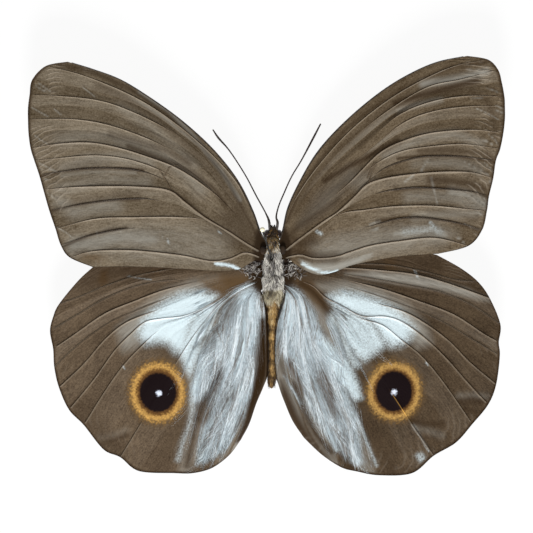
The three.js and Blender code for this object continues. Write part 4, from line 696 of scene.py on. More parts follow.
def layerValues(flat, marks):  # how strongly each colour layer shows at each point
    values = {layer: np.zeros(len(flat)) for layer in colourLayers}
    for layer, strength, soft, width, *strokes in marks:
        for points in strokes:
            low, high = np.min(points, axis=0) - width - soft, np.max(points, axis=0) + width + soft
            near = np.where(((flat > low) & (flat < high)).all(axis=1))[0]
            gap = lineGap(flat[near], points, closed=width == 0)
            depth = width / 2 - gap if width else np.where(isInside(flat[near], points), gap, -gap)
            shown = strength * smoothStep(depth, -soft / 2, soft / 2)
            values[layer][near] = np.maximum(values[layer][near], shown)
    return values


scales = {
    "roughness": 0.6, "shine": 0.12,
    "streak": (3.3, 0.42, 1), "hair": (1.25, 0.125, 1),  # mm along and across the veins
    "blotch": 180, "grain": 3300,  # in a metre: real scales are 0.1 mm long, drawn at 0.3 mm so that they show
    "toneWeights": {"hair": 0.9, "streak": 0.5, "blotch": 0.8, "grain": 1.25}, "toneStart": -1.22,
    "silkDark": "#858e91", "silkLight": "#c3d3db",
    # Vein lines are painted relief: painted shade on the side away from the light and a painted highlight on the
    # side towards it.
    "veinShadeSide": ("#241706", 0.38, 0.04, 0.85),  # colour, where the line starts and is full in mm, and strength
    "veinLitSide": ("#a89d8b", 0.36, 0.1), "veinHighlightOnPale": "#f4fbff",
    # The wrinkle colour is a painted highlight on the crests of the margin wrinkles.
    "wrinkle": "#9c9182", "wrinkleHighlightShare": 0.45, "wrinkleTurns": (-2.8, 6, 22),  # along, across, by blotches
    "under": "#a39277", "underShare": 0.3,
    "bump": 0.8, "bumpDepth": 0.1, "bumpWeights": (0.8, 0.3, 0.4),  # of veins, scales and hair
}


def wingMaterial(name, wing):
    # Dry wing: dust-fine overlapping scales on a membrane. The eye gets a matt brown that is streaked
    # along the veins, with the edges of each colour broken up scale by scale.
    material, tree, shader = newMaterial(name, {
        "Roughness": scales["roughness"], "Specular IOR Level": scales["shine"]})
    place = addNode(tree, "ShaderNodeTexCoord", output="Object")
    fibre = addNode(tree, "ShaderNodeAttribute", {"attribute_name": "fibre"}, output="Vector")
    values = {key: addNode(tree, "ShaderNodeAttribute", {"attribute_name": key}, output="Fac")
              for key in colourLayers + ("under", "gap", "darkGap", "lightGap")}
    pattern = {}
    for key, detail in (("streak", 3), ("hair", 2)):
        way = {"Vector": fibre, "Scale": scales[key]}
        way = addNode(tree, "ShaderNodeMapping", {"vector_type": "TEXTURE"}, way)
        pattern[key] = addNode(tree, noiseNode, None, {"Vector": way, "Scale": 1, "Detail": detail})
    for key, detail in (("blotch", 3), ("grain", 2)):
        pattern[key] = addNode(tree, noiseNode, None, {"Vector": place, "Scale": scales[key], "Detail": detail})
    streak, hair, blotch, grain = pattern.values()
    tone = scales["toneStart"]
    for key, weight in scales["toneWeights"].items():
        tone = addNode(tree, mathNode, multiplyAdd, (pattern[key], weight, tone))
    colour = addNode(tree, mixNode, rgba, {0: tone, 6: linear(wing["dark"]), 7: linear(wing["light"])}, 2)
    silkTone = addNode(tree, rangeNode, smooth, {0: hair, 1: 0.3, 2: 0.62})
    silkTone = addNode(tree, mixNode, rgba, {
        0: silkTone, 6: linear(scales["silkDark"]), 7: linear(scales["silkLight"])}, 2)
    brokenUp = []
    for coarse, share in ((streak, 0.6), (grain, 0.7)):
        mixed = addNode(tree, mathNode, multiply, (hair, 1 - share))
        mixed = addNode(tree, mathNode, multiplyAdd, (coarse, share, mixed))
        brokenUp.append(addNode(tree, mathNode, subtract, (mixed, 0.5)))
    alongFibres, byScales = brokenUp
    # The grey layer is grey scales and also painted sheen, the dark layer dark scales and also painted shade; the
    # pale layer is the white patch, and in a few strokes a painted highlight.
    layers = {  # colour, noise that breaks its edges up, and how much
        "ash": (linear("#98958c"), alongFibres, 4),
        "warm": (linear("#574126"), byScales, 6),
        "silk": (silkTone, byScales, 8),
        "pale": (linear("#d2e2e7"), byScales, 7),
        "fawn": (linear("#75695a"), alongFibres, 7),
        "dusk": (linear("#2b1b07"), alongFibres, 4),
    }
    for layer, (layerColour, breakUp, amount) in layers.items():
        edge = addNode(tree, mathNode, subtract, (1, values[layer]))
        edge = addNode(tree, mathNode, multiply, (values[layer], edge))
        ragged = addNode(tree, mathNode, multiply, (breakUp, amount))
        ragged = addNode(tree, mathNode, multiply, (ragged, edge))
        share = addNode(tree, mathNode, add | clamped, (values[layer], ragged))
        colour = addNode(tree, mixNode, rgba, {0: share, 6: colour, 7: layerColour}, 2)
    # Each vein gets painted shade, a dark line on the side away from the light, and a painted highlight, a pale
    # shiny line on the side towards it.
    light = addNode(tree, mathNode, {"operation": "MAXIMUM"}, (values["pale"], values["silk"]))
    dark, *darkLine = scales["veinShadeSide"]
    veinHighlight, *veinHighlightLine = scales["veinLitSide"]
    veinHighlight = addNode(tree, mixNode, rgba, {0: light, 6: linear(veinHighlight), 7: linear(scales["veinHighlightOnPale"])}, 2)
    darkShare = addNode(tree, mathNode, multiplyAdd, (light, -0.7, 1))
    lightShare = addNode(tree, mathNode, multiplyAdd, (streak, 1.2, 0.2))
    for side, share, (start, full, most), lineColour in (
            ("darkGap", darkShare, darkLine, linear(dark)),
            ("lightGap", lightShare, [*veinHighlightLine, wing["veinHighlight"]], veinHighlight)):
        line = addNode(tree, rangeNode, smooth, {0: values[side], 1: start, 2: full, 4: most})
        line = addNode(tree, mathNode, multiply, (line, share))
        colour = addNode(tree, mixNode, rgba, {0: line, 6: colour, 7: lineColour}, 2)
    # Short slanting wrinkles inside the outer margin, with a painted highlight: their crests are painted paler.
    along, across = (addNode(tree, "ShaderNodeSeparateXYZ", None, (fibre,), output) for output in (0, 1))
    phase = 0
    for coordinate, turns in zip((along, across, blotch), scales["wrinkleTurns"]):
        phase = addNode(tree, mathNode, multiplyAdd, (coordinate, turns, phase))
    folds = addNode(tree, mathNode, {"operation": "SINE"}, (phase,))
    folds = addNode(tree, mathNode, multiplyAdd, (folds, 0.5, 0.5))
    folds = addNode(tree, mathNode, {"operation": "POWER"}, (folds, 5))
    for source, start, full, most in ((blotch, 0.47, 0.56, 1), (along, 38.5, 42.5, 1),
                                      (along, 44.9, 44.2, wing["wrinkled"])):
        fade = addNode(tree, rangeNode, smooth, {0: source, 1: start, 2: full, 4: most})
        folds = addNode(tree, mathNode, multiply, (folds, fade))
    share = addNode(tree, mathNode, multiply, (folds, scales["wrinkleHighlightShare"]))
    colour = addNode(tree, mixNode, rgba, {0: share, 6: colour, 7: linear(scales["wrinkle"])}, 2)
    if "eyespot" in wing:
        colour = paintEyespot(tree, wing["eyespot"], colour, place, grain, values["lightGap"])
    # The underside is a little paler and duller than the upper side.
    share = addNode(tree, mathNode, multiply, (values["under"], scales["underShare"]))
    colour = addNode(tree, mixNode, rgba, {0: share, 6: colour, 7: linear(scales["under"])}, 2)
    tree.links.new(colour, shader.inputs["Base Color"])
    ridge = addNode(tree, rangeNode, smooth, {0: values["gap"], 1: 0.35, 2: 0, 4: 1})
    relief = folds
    for height, weight in zip((ridge, grain, hair), scales["bumpWeights"]):
        relief = addNode(tree, mathNode, multiplyAdd, (height, weight, relief))
    bump = addNode(tree, "ShaderNodeBump", None, {
        "Height": relief, "Strength": scales["bump"], "Distance": scales["bumpDepth"] * mm})
    tree.links.new(bump, shader.inputs["Normal"])
    return material


def paintEyespot(tree, spot, colour, place, grain, lightGap):  # a ring of golden scales round a black disc
    wobble = addNode(tree, noiseNode, None, {"Vector": place, "Scale": 2600, "Detail": 3})
    speckle = addNode(tree, rangeNode, smooth, {0: grain, 1: 0.35, 2: 0.62, 4: 0.38})
    gold = addNode(tree, mixNode, rgba, {0: speckle, 6: linear(spot["gold"]), 7: linear("#5e4420")}, 2)
    bands = {  # middle, half sizes, edge from, edge to, ragged, colour
        "halo": (spot["middle"], spot["ring"], 1.22, 0.86, 0.5, linear(spot["halo"])),
        "gold": (spot["middle"], spot["ring"], 1.06, 0.72, 0.4, gold),
        "brown": (spot["middle"], spot["ring"], 0.86, 0.68, 0.25, linear("#5b3d1c")),
        "black": (spot["middle"], spot["black"], 1.06, 0.93, 0.18, linear("#0e0103")),
        "pupil": (spot["pupil"], (0.62, 0.66), 1.15, 0.4, 1.5, linear("#dfe6f6")),
    }
    shares = {}
    for band, (middle, half, outer, inner, ragged, bandColour) in bands.items():
        away = awayFrom(tree, place, (*middle, 0), (*half, 0))
        away = addNode(tree, mathNode, multiplyAdd, (wobble, ragged, away))
        shares[band] = addNode(tree, rangeNode, smooth, {0: away, 1: outer + ragged / 2, 2: inner + ragged / 2})
        colour = addNode(tree, mixNode, rgba, {0: shares[band], 6: colour, 7: bandColour}, 2)
    # A painted highlight along the lit side of a vein crosses the ring as a thin gold line, dimmer over the black.
    line = addNode(tree, rangeNode, smooth, {0: lightGap, 1: 0.32, 2: 0.06, 4: 0.85})
    dimmed = addNode(tree, mathNode, multiplyAdd, (shares["black"], -0.62, 1))
    for share in (shares["gold"], dimmed):
        line = addNode(tree, mathNode, multiply, (line, share))
    return addNode(tree, mixNode, rgba, {0: line, 6: colour, 7: linear("#e6ad52")}, 2)


def wingSheet(name, wing):  # closed thin sheet: upper grid, lower grid and a rim
    grid = wing["grid"]
    top = grid["top"]
    rowCount, columnCount = top.shape[:2]
    onEdge = np.zeros((rowCount, columnCount))
    onEdge[0] = onEdge[-1] = 1
    onEdge[:, -1] = 1
    plain = sheet["thickness"] + (sheet["edge"] - sheet["thickness"]) * onEdge
    thickness = sheet["root"] + (plain - sheet["root"]) * np.minimum(grid["along"] * 4, 1)
    bottom = top - np.dstack([np.zeros_like(onEdge), np.zeros_like(onEdge), thickness])
    count = rowCount * columnCount
    number = np.arange(count).reshape(rowCount, columnCount)
    quads = np.stack([number[:-1, :-1], number[1:, :-1], number[1:, 1:], number[:-1, 1:]], -1).reshape(-1, 4)
    rim = np.concatenate([number[0, :-1], number[:-1, -1], number[-1, :0:-1], number[:0:-1, 0]])
    walls = np.stack([rim, np.roll(rim, -1), np.roll(rim, -1) + count, rim + count], -1)
    corner = top.reshape(-1, 3)[quads[len(quads) // 2 + columnCount // 2]]
    if np.cross(corner[1] - corner[0], corner[2] - corner[1])[2] < 0:  # the upper side has to face up
        quads = quads[:, ::-1]
    else:
        walls = walls[:, ::-1]
    faces = np.vstack([quads, quads[:, ::-1] + count, walls]).tolist()
    points = np.vstack([top.reshape(-1, 3), bottom.reshape(-1, 3)])
    made = meshObject(name, toMetres(points), faces, wingMaterial(name.replace("Sheet", "Scales"), wing))
    values = layerValues(top.reshape(-1, 3)[:, :2], wing["marks"] + creaseMarks(wing.get("creases", [])))
    edge = np.repeat(smoothStep(grid["along"], 0.985, 0.998)[None], rowCount, 0)
    edge = np.maximum(edge, (1 - smoothStep(grid["along"], 0.03, 0.1))[None])  # painted shade beside the body
    # The strips that tuck down beside the abdomen get painted shade.
    edge[grid["edgeRow"] + 1:] = 1
    values["dusk"] = np.maximum(values["dusk"], 0.9 * edge.ravel())
    # Painted pleat shading: the side of each pleat that faces the tail, where the light comes from, is painted
    # paler, and the other side darker.
    lit = np.clip(wing["paintedPleatShade"] * grid["drop"], -0.75, 0.6).ravel()
    lit *= (1 - np.maximum(values["pale"], values["silk"])) * (1 - values["ash"]) * (1 - values["dusk"])
    values["ash"] = np.maximum(values["ash"], lit)
    values["dusk"] = np.maximum(values["dusk"], -lit)
    for layer, value in values.items():
        addValues(made.data, layer, np.tile(value, 2))
    for key in ("gap", "darkGap", "lightGap"):
        addValues(made.data, key, np.tile(grid[key].ravel(), 2))
    addValues(made.data, "under", np.repeat([0, 1], count))
    fan = np.dstack([grid["fan"], np.full(grid["gap"].shape, wing["seed"] * 10)]).reshape(-1, 3)
    addValues(made.data, "fibre", np.tile(fan, (2, 1)), "FLOAT_VECTOR")
    wing["layers"] = {layer: value.reshape(rowCount, columnCount) for layer, value in values.items()}
    return made


for name, wing in wings.items():
    wing["grid"] = wingGrid(wing)
    made = wingSheet(name + "Sheet", wing)
    finishPiece(made, "wing", name)
    print(name, "sheet:", len(made.data.polygons), "faces")


# Strands: hairs, veins, feelers and legs are lines that Geometry Nodes turn into thin tubes.
def strandTree():
    tree = bpy.data.node_groups.new("strandTubes", "GeometryNodeTree")
    sockets = {"Strands": "Geometry", "Thickness": "Float", "Sides": "Int", "Material": "Material"}
    for name, kind in sockets.items():
        tree.interface.new_socket(name, in_out="INPUT", socket_type="NodeSocket" + kind)
    tree.interface.new_socket("Tubes", in_out="OUTPUT", socket_type="NodeSocketGeometry")
    start = addNode(tree, "NodeGroupInput", output=None).outputs
    curve = addNode(tree, "GeometryNodeMeshToCurve", None, {"Mesh": start["Strands"]})
    radius = addNode(tree, "GeometryNodeInputNamedAttribute", {"data_type": "FLOAT"}, {"Name": "strandRadius"})
    radius = addNode(tree, mathNode, multiply, (radius, start["Thickness"]))
    ring = addNode(tree, "GeometryNodeCurvePrimitiveCircle", None, {"Resolution": start["Sides"], "Radius": 1})
    tubes = addNode(tree, "GeometryNodeCurveToMesh", None, {
        "Curve": curve, "Profile Curve": ring, "Scale": radius, "Fill Caps": True})
    tubes = addNode(tree, "GeometryNodeSetShadeSmooth", None, (tubes,))
    tubes = addNode(tree, "GeometryNodeRealizeInstances", None, (tubes,))
    tubes = addNode(tree, "GeometryNodeSetMaterial", None, {"Geometry": tubes, "Material": start["Material"]})
    addNode(tree, "NodeGroupOutput", None, (tubes,), None)
    return tree


tubesTree = strandTree()


def makeStrands(name, strands, material, sides=3):
    # strands: list of (points in mm, radius at each point in mm, tone at each point)
    lines, radii, tones = zip(*strands)
    edges, first = [], 0
    for line in lines:
        edges += [(n, n + 1) for n in range(first, first + len(line) - 1)]
        first += len(line)
    mesh = bpy.data.meshes.new(name + "Lines")
    mesh.from_pydata(toMetres(np.vstack(lines)).tolist(), edges, [])
    addValues(mesh, "strandRadius", np.concatenate(radii))
    addValues(mesh, "tone", np.concatenate(tones))
    made = addObject(name, mesh)
    modifier = made.modifiers.new("tubes", "NODES")
    modifier.node_group = tubesTree
    wanted = {"Thickness": mm, "Sides": sides, "Material": material}
    for item in tubesTree.interface.items_tree:
        if item.in_out == "INPUT" and item.name in wanted:
            modifier[item.identifier] = wanted[item.name]
    bpy.context.view_layer.update()
    tubes = bpy.data.meshes.new_from_object(made.evaluated_get(bpy.context.evaluated_depsgraph_get()))
    made.modifiers.remove(modifier)
    made.data = tubes
    tubes.name = name
    bpy.data.meshes.remove(mesh)
    return made


def strandMaterial(name, stops, values):
    # Hairs, veins and feelers: each strand takes its own tone, so that a coat isn't one flat colour.
    material, tree, shader = newMaterial(name, values)
    place = addNode(tree, "ShaderNodeTexCoord", output="Object")
    tone = addNode(tree, "ShaderNodeAttribute", {"attribute_name": "tone"}, output="Fac")
    patchy = addNode(tree, noiseNode, None, {"Vector": place, "Scale": 1500, "Detail": 2})
    tone = addNode(tree, mathNode, multiplyAdd, (patchy, 0.3, tone))
    tone = addNode(tree, mathNode, subtract, (tone, 0.15))
    ramp = addNode(tree, "ShaderNodeValToRGB", None, (tone,), None)
    while len(ramp.color_ramp.elements) < len(stops):
        ramp.color_ramp.elements.new(0.5)
    for element, (position, colour) in zip(ramp.color_ramp.elements, stops):
        element.position = position
        element.color = linear(colour)
    tree.links.new(ramp.outputs[0], shader.inputs["Base Color"])
    return material


# Dried vein walls: brown, and paler where the scales on them are pale, with a low shine along each ridge.
veinChitin = strandMaterial("veinChitin", [(0, "#120b06"), (0.3, "#65543f"), (0.6, "#97897a"), (1, "#dfe7ea")],
                            {"Roughness": 0.45, "Specular IOR Level": 0.4})
veinTubes = {
    "ridge": 0.75, "valley": 0.5, "taper": 0.5,  # shares of the drawn radius, and how much is lost to the margin
    "ridgeTone": 0.36, "valleyTone": 0.3, "foldTone": 0.1, "costaTone": 0.05, "paleTone": 0.62,
    "costaSink": 0.08, "spotSink": 0.12, "thinnest": 0.02, "crossRadius": 0.06, "crossTone": 0.3, "sides": 6,
}


def onWing(wing, x, y):  # the point of the upper surface under x, y
    top = wing["grid"]["top"].reshape(-1, 3)
    return [x, y, top[np.argmin((top[:, 0] - x) ** 2 + (top[:, 1] - y) ** 2), 2]]


for name, wing in wings.items():
    top, layers = wing["grid"]["top"], wing["layers"]
    pale = np.maximum(layers["pale"], layers["silk"])
    lineNames = [line[0] for line in wing["lines"]]
    strands = []
    for veinName, start, radius in wing["veins"]:
        number = lineNames.index(veinName)
        row = number * len(sheet["between"])
        columns = np.arange(max(int(start * sheet["columns"]), 1), sheet["columns"] - 1, 2)
        line = top[row, columns].copy()
        share = np.linspace(0, 1, len(columns))
        valley = wing["lines"][number][1] < 0
        kind = "ridge" if not valley else "fold" if veinName.startswith("fold") else "valley"
        thick = veinTubes["valley" if valley else "ridge"] * radius * (1 - veinTubes["taper"] * share)
        thick = thick * smoothStep(share, -0.02, 0.04)
        line[:, 2] += thick * 0.2
        tone = veinTubes[kind + "Tone"] + veinTubes["paleTone"] * pale[row, columns]
        if "eyespot" in wing:  # the vein sinks under the scales of the eyespot
            spot = wing["eyespot"]
            away = np.hypot(*((line[:, :2] - spot["middle"]) / spot["ring"]).T)
            thick = thick * (1 - 0.95 * smoothStep(away, 1.25, 1.05))
            line[:, 2] -= veinTubes["spotSink"] * smoothStep(away, 1.25, 1.05)
        if veinName == "costa":
            tone[:] = veinTubes["costaTone"]
            line[:, 2] -= veinTubes["costaSink"]
        strands.append((line, np.maximum(thick, veinTubes["thinnest"]), tone))
    for path in wing["crossVeins"]:
        line = smoothPath([onWing(wing, x, y) for x, y in path], 10)
        strands.append((line, *(np.full(len(line), veinTubes[key]) for key in ("crossRadius", "crossTone"))))
    veins = makeStrands(name + "Veins", strands, veinChitin, sides=veinTubes["sides"])
    finishPiece(veins, "wing")
    print(name, "veins:", len(veins.data.polygons), "faces")

# Silky hairs that lie along the inner part of each hindwing, drawn twice as thick as real ones so that they
# show. The eye gets combed, blue-white locks with brown ones between them.
silkHair = strandMaterial("silkHair", [
    (0, "#43342a"), (0.3, "#7d7268"), (0.55, "#9fa7aa"), (0.8, "#c6d4db"), (1, "#f0f8fb")],
    {"Roughness": 0.5, "Sheen Weight": 0.2})
silk = {
    "locks": 210, "hairs": 10, "width": 1.3, "length": (5, 13), "bend": 0.8, "lift": (0.0, 0.16),
    "nearBody": 14, "outerColumn": 150, "shortest": 0.8,
    "radius": 0.034, "taper": (0.7, 1, 1, 1, 1, 0.9, 0.75, 0.5, 0.2), "thinnest": 0.004,
    "tone": 0.8, "tones": 0.22, "hairTones": 0.1, "fawnTone": 0.5, "duskTone": 0.6, "seed": 21,
}
for name in ("hindwing_left", "hindwing_right"):
    wing, rng = wings[name], np.random.default_rng(silk["seed"])
    top, layers = wing["grid"]["top"], wing["layers"]
    cover = np.maximum(layers["silk"], layers["pale"] * (np.abs(top[..., 0]) < silk["nearBody"]))
    rowStep = np.linalg.norm(np.diff(top, axis=0, append=top[-1:]), axis=2)
    columnStep = np.linalg.norm(np.diff(top, axis=1, append=top[:, -1:]), axis=2)
    chance = (np.maximum(layers["silk"], 0.3 * cover) * rowStep * columnStep).ravel() + 1e-12
    lastRow, lastColumn = top.shape[0] - 2, top.shape[1] - 2
    t = np.linspace(0, 1, len(silk["taper"]))
    strands = []
    for root in rng.choice(top.shape[0] * top.shape[1], silk["locks"], p=chance / chance.sum()):
        row, column = divmod(root, top.shape[1])
        length = rng.uniform(*silk["length"]) * (0.5 if column > silk["outerColumn"] else 1)
        bend, lockTone = rng.normal(0, silk["bend"]), rng.normal(0, silk["tones"])
        for _ in range(silk["hairs"]):
            reach = length * rng.uniform(0.7, 1.05) / max(columnStep[row, min(column, lastColumn)], 0.05)
            columns = np.clip(column + rng.uniform(-9, 3) + t * reach, 1, lastColumn)
            rowsHere = row + rng.normal(0, silk["width"]) * (1 - 0.75 * t) + bend * 4 * t**1.5
            rowsHere = np.clip(rowsHere, 1, lastRow)
            c0, r0 = columns.astype(int), rowsHere.astype(int)
            u, v = (columns - c0)[:, None], (rowsHere - r0)[:, None]
            line = (top[r0, c0] * (1 - u) * (1 - v) + top[r0, c0 + 1] * u * (1 - v)
                    + top[r0 + 1, c0] * (1 - u) * v + top[r0 + 1, c0 + 1] * u * v)
            if np.linalg.norm(line[-1] - line[0]) < silk["shortest"]:
                continue
            arch = np.sin(np.linspace(0.15, 1, len(t)) * math.pi * 0.9)
            line[:, 2] += 0.02 + rng.uniform(*silk["lift"]) * arch
            # Hairs are darker over fawn scales, and darker and thinner over dark scales and painted shade.
            dusk = layers["dusk"][r0, c0]
            tone = silk["tone"] + lockTone + rng.normal(0, silk["hairTones"])
            tone = tone - silk["fawnTone"] * layers["fawn"][r0, c0] - silk["duskTone"] * dusk
            thick = silk["radius"] * smoothStep(cover[r0, c0], 0, 0.4) * (1 - 0.75 * dusk)
            thick = np.maximum(thick * np.array(silk["taper"]), silk["thinnest"])
            strands.append((line, thick, np.clip(tone, 0, 1)))
    hairs = makeStrands(name + "Silk", strands, silkHair)
    finishPiece(hairs, "wing")
    print(name, "silk:", len(hairs.data.polygons), "faces")

# Body: stations along y, each with y, middle x, half width, lowest and highest z.
thorax = {
    "stations": [(5.7, 0.3, 0.7, 3.6, 5.9), (5.1, 0.3, 1.4, 2.4, 6.6), (3.6, 0.3, 1.95, 1, 7.2),
                 (1.7, 0.3, 2.35, -0.2, 7.5), (-0.3, 0.3, 2.5, -0.35, 7.5), (-2.4, 0.3, 2.4, -0.3, 7.2),
                 (-4.2, 0.3, 2.05, 0.6, 6.7), (-5.5, 0.3, 1.5, 1.7, 6.2), (-6.3, 0.3, 0.8, 2.6, 5.4)],
    "inset": 0.45, "rings": 70, "sides": 64, "lumps": 0.1, "seed": 31,
}
head = {
    "stations": [(7.4, 0.3, 0.55, 3.6, 4.9), (7, 0.3, 0.95, 3.1, 5.4), (6.2, 0.3, 1.25, 2.8, 5.9),
                 (5.4, 0.3, 1.2, 2.9, 5.9), (4.6, 0.3, 0.9, 3.3, 5.5)],
    "inset": 0.2, "rings": 36, "sides": 48, "lumps": 0.06, "seed": 33,
}
abdomen = {
    "stations": [(-5, 0.35, 1.1, 2.2, 5.4), (-7.2, 0.32, 1.2, 1.7, 5.6), (-9.3, 0.28, 1.05, 1.5, 5.4),
                 (-12, 0.2, 0.88, 1.3, 5.1), (-15, 0.14, 0.8, 1.2, 4.8), (-18, 0.12, 0.8, 1.1, 4.4),
                 (-20.4, 0.08, 0.88, 1.1, 4), (-22.2, 0.05, 0.75, 1.4, 3.5), (-23.1, 0.03, 0.35, 1.9, 3)],
    "inset": 0.1, "rings": 160, "sides": 40, "lumps": 0.05, "seed": 35, "segmentLength": 2.0, "segmentDepth": 0.09,
}


def bodyRings(body):  # rings of points round a body that lies along y, and the way out at each point
    angles = np.linspace(0, 2 * math.pi, body["sides"], endpoint=False)
    points, outward = [], []
    for y, middle, half, low, high in smoothPath(body["stations"], body["rings"]):
        inset = body["inset"]
        if "segmentLength" in body:
            place = (y % body["segmentLength"]) / body["segmentLength"]
            inset = inset + body["segmentDepth"] * (1 - smoothStep(abs(place - 0.5), 0.5, 0.36))
        halfX, halfZ = max(half - inset, 0.05), max((high - low) / 2 - inset, 0.05)
        points.append(np.stack([middle + halfX * np.cos(angles), np.full(len(angles), y),
                                (low + high) / 2 + halfZ * np.sin(angles)], -1))
        away = np.stack([np.cos(angles) / halfX, np.zeros(len(angles)), np.sin(angles) / halfZ], -1)
        outward.append(away / np.linalg.norm(away, axis=1)[:, None])
    points, outward = np.array(points), np.array(outward)
    lumps = [noise.noise((x * 1.6, y * 1.2, z * 1.6 + body["seed"])) for x, y, z in points.reshape(-1, 3)]
    points += outward * (np.reshape(lumps, points.shape[:2]) * body["lumps"])[..., None]
    points[..., 2] = np.maximum(points[..., 2], 0)
    return points, outward


def bodySkin(name, body, material):
    points, body["outward"] = bodyRings(body)
    body["points"] = points
    front, back = points[0].mean(0), points[-1].mean(0)
    rounded = (0, 0.35 * (front[1] - back[1]) / len(points) + 0.12, 0)
    return closedSkin(name, points, [front + rounded, back - rounded], material)


def skinMaterial(name, dark, light, spots, values):
    # Dried body skin under hair: matt and leathery, mottled, with the darker places given for each skin: worn or
    # bare places, marks, and on the abdomen painted shade along the flanks.
    material, tree, shader = newMaterial(name, values)
    place = addNode(tree, "ShaderNodeTexCoord", output="Object")
    mottle = addNode(tree, noiseNode, None, {"Vector": place, "Scale": 700, "Detail": 4})
    grain = addNode(tree, noiseNode, None, {"Vector": place, "Scale": 4000, "Detail": 2})
    share = addNode(tree, rangeNode, None, (mottle, 0.35, 0.65))
    colour = addNode(tree, mixNode, rgba, {0: share, 6: linear(dark), 7: linear(light)}, 2)
    for middle, half, spotColour in spots:  # dark places, as soft ellipsoids
        away = addNode(tree, mathNode, multiplyAdd, (mottle, 0.8, awayFrom(tree, place, middle, half)))
        inside = addNode(tree, rangeNode, smooth, (away, 1.6, 1.1))
        colour = addNode(tree, mixNode, rgba, {0: inside, 6: colour, 7: linear(spotColour)}, 2)
    tree.links.new(colour, shader.inputs["Base Color"])
    bump = addNode(tree, "ShaderNodeBump", None, {"Height": grain, "Strength": 0.5, "Distance": 0.05 * mm})
    tree.links.new(bump, shader.inputs["Normal"])
    return material


thoraxSkin = skinMaterial("thoraxSkin", "#2e2820", "#6b655c", [
    ((-0.05, 1.6, 7.1), (0.5, 0.75, 0.8), "#0f0c09"),  # worn round the pin
    ((0.3, -1.8, 7.2), (2.6, 0.16, 1.6), "#14100c")],  # furrow across the back
    {"Roughness": 0.85, "Specular IOR Level": 0.2})
tegulaSkin = skinMaterial("tegulaSkin", "#140c07", "#33271b", [], {"Roughness": 0.8, "Specular IOR Level": 0.2})
rootSkin = skinMaterial("rootSkin", "#120c08", "#463528", [], {"Roughness": 0.7, "Specular IOR Level": 0.3})
headSkin = skinMaterial("headSkin", "#150e09", "#3f3020", [], {"Roughness": 0.7, "Specular IOR Level": 0.3})
abdomenSkin = skinMaterial("abdomenSkin", "#6b5029", "#a88751", [
    ((0.02, -9.1, 5.3), (0.14, 0.22, 0.5), "#2c1c0b"), ((0.02, -10, 5.2), (0.14, 0.22, 0.5), "#2c1c0b"),
    ((0.08, -11.4, 5.1), (0.14, 0.3, 0.5), "#2c1c0b"),  # three small marks along the ridge
    ((1.15, -13, 3.2), (0.75, 9, 1.9), "#1e1207"), ((-1.0, -14, 2.8), (0.62, 9, 1.8), "#251608"),  # painted shade: dark flanks
    ((0, -22.2, 2.6), (0.9, 2.4, 1.4), "#46310f")],  # tip
    {"Roughness": 0.75, "Specular IOR Level": 0.3})

finishPiece(bodySkin("thoraxBody", thorax, thoraxSkin), "fur", "thorax")
finishPiece(bodySkin("headBody", head, headSkin), "dark_cuticle", "head")
finishPiece(bodySkin("abdomenBody", abdomen, abdomenSkin), "abdomen", "abdomen")
print("body skins made")

# Grey fur, each hair a tone from near-black to pale: dry and soft, so the eye gets a felted, uneven back.
bodyHair = strandMaterial("bodyHair", [
    (0, "#0f0b08"), (0.25, "#453c35"), (0.5, "#85807d"), (0.75, "#b8b4ab"), (1, "#f6f2e8")],
    {"Roughness": 0.6, "Sheen Weight": 0.2})
# Yellow-brown hair of head, collar and abdomen, and the longer cream hair behind the thorax.
goldenHair = strandMaterial("goldenHair", [(0, "#2a1a0c"), (0.35, "#6b4e27"), (0.7, "#a98650"), (1, "#d6bd8c")],
                            {"Roughness": 0.6})
creamHair = strandMaterial("creamHair", [(0, "#21180e"), (0.35, "#65563a"), (0.7, "#a2946f"), (1, "#ece4c8")],
                           {"Roughness": 0.6, "Sheen Weight": 0.2})
coat = {
    "radii": (0.044, 0.044, 0.036, 0.026, 0.008), "sideways": 0.2, "upwards": 0.1, "wave": 0.12,
    "bareBelly": -0.75, "pinPlace": (-0.1, 1.5), "bareRound": 0.5,  # no hair where it rests and round the pin
    "blotchiness": 0.8, "lowest": 0.03,
}
# Coats of hair: body, material, slot, and for each band: from y, to y, count, length, tone and its spread,
# lift, how much it fans out sideways.
coats = {
    "collarFur": (thorax, goldenHair, "fur", [
        (6.2, 4.4, 420, 0.7, 0.5, 0.24, 0.3, 0.3), (4.4, 3, 300, 0.8, 0.72, 0.22, 0.25, 0.2)]),
    "thoraxFur": (thorax, bodyHair, "fur", [
        (5, 2.2, 520, 0.9, 0.52, 0.28, 0.25, 0.2), (2.2, -1.6, 2000, 0.75, 0.54, 0.28, 0.12, 0.5),
        (-1.75, -4.2, 1150, 0.8, 0.8, 0.28, 0.42, 0.5)]),
    "fringeFur": (thorax, creamHair, "fur", [(-4, -6.5, 1000, 1.7, 0.52, 0.26, 0.35, 0.3)]),
    "headFur": (head, goldenHair, "dark_cuticle", [(7.2, 4.6, 520, 0.5, 0.28, 0.2, 0.2, 0.2)]),
    "abdomenFur": (abdomen, goldenHair, "abdomen", [(-5.5, -22.6, 1400, 0.7, 0.54, 0.16, 0.07, 0)]),
}


def placeTone(body, root, away):  # how much paler or darker the hair is at a place of the body
    tone = coat["blotchiness"] * noise.noise((root[0] * 1.6, root[1] * 0.8, 7))
    if body is thorax:
        tone -= 0.45 * smoothStep(-away[2], -0.45, 0.0)  # painted shade: the flanks are almost black
        tone += 0.1 * smoothStep(abs(away[0]), 0.45, 0.7)  # a paler rim, cream on its right
        tone += 0.16 * smoothStep(away[0], 0.4, 0.7)
    if body is abdomen:  # painted shade on the flanks, which are dark, a golden back and a darker tip
        tone -= 0.6 * smoothStep(abs(away[0] + 0.15), 0.35, 0.75)
        tone += 0.4 - 0.58 * smoothStep(-root[1], 10, 15) + 0.16 * noise.noise((0, root[1], 3))
    return tone


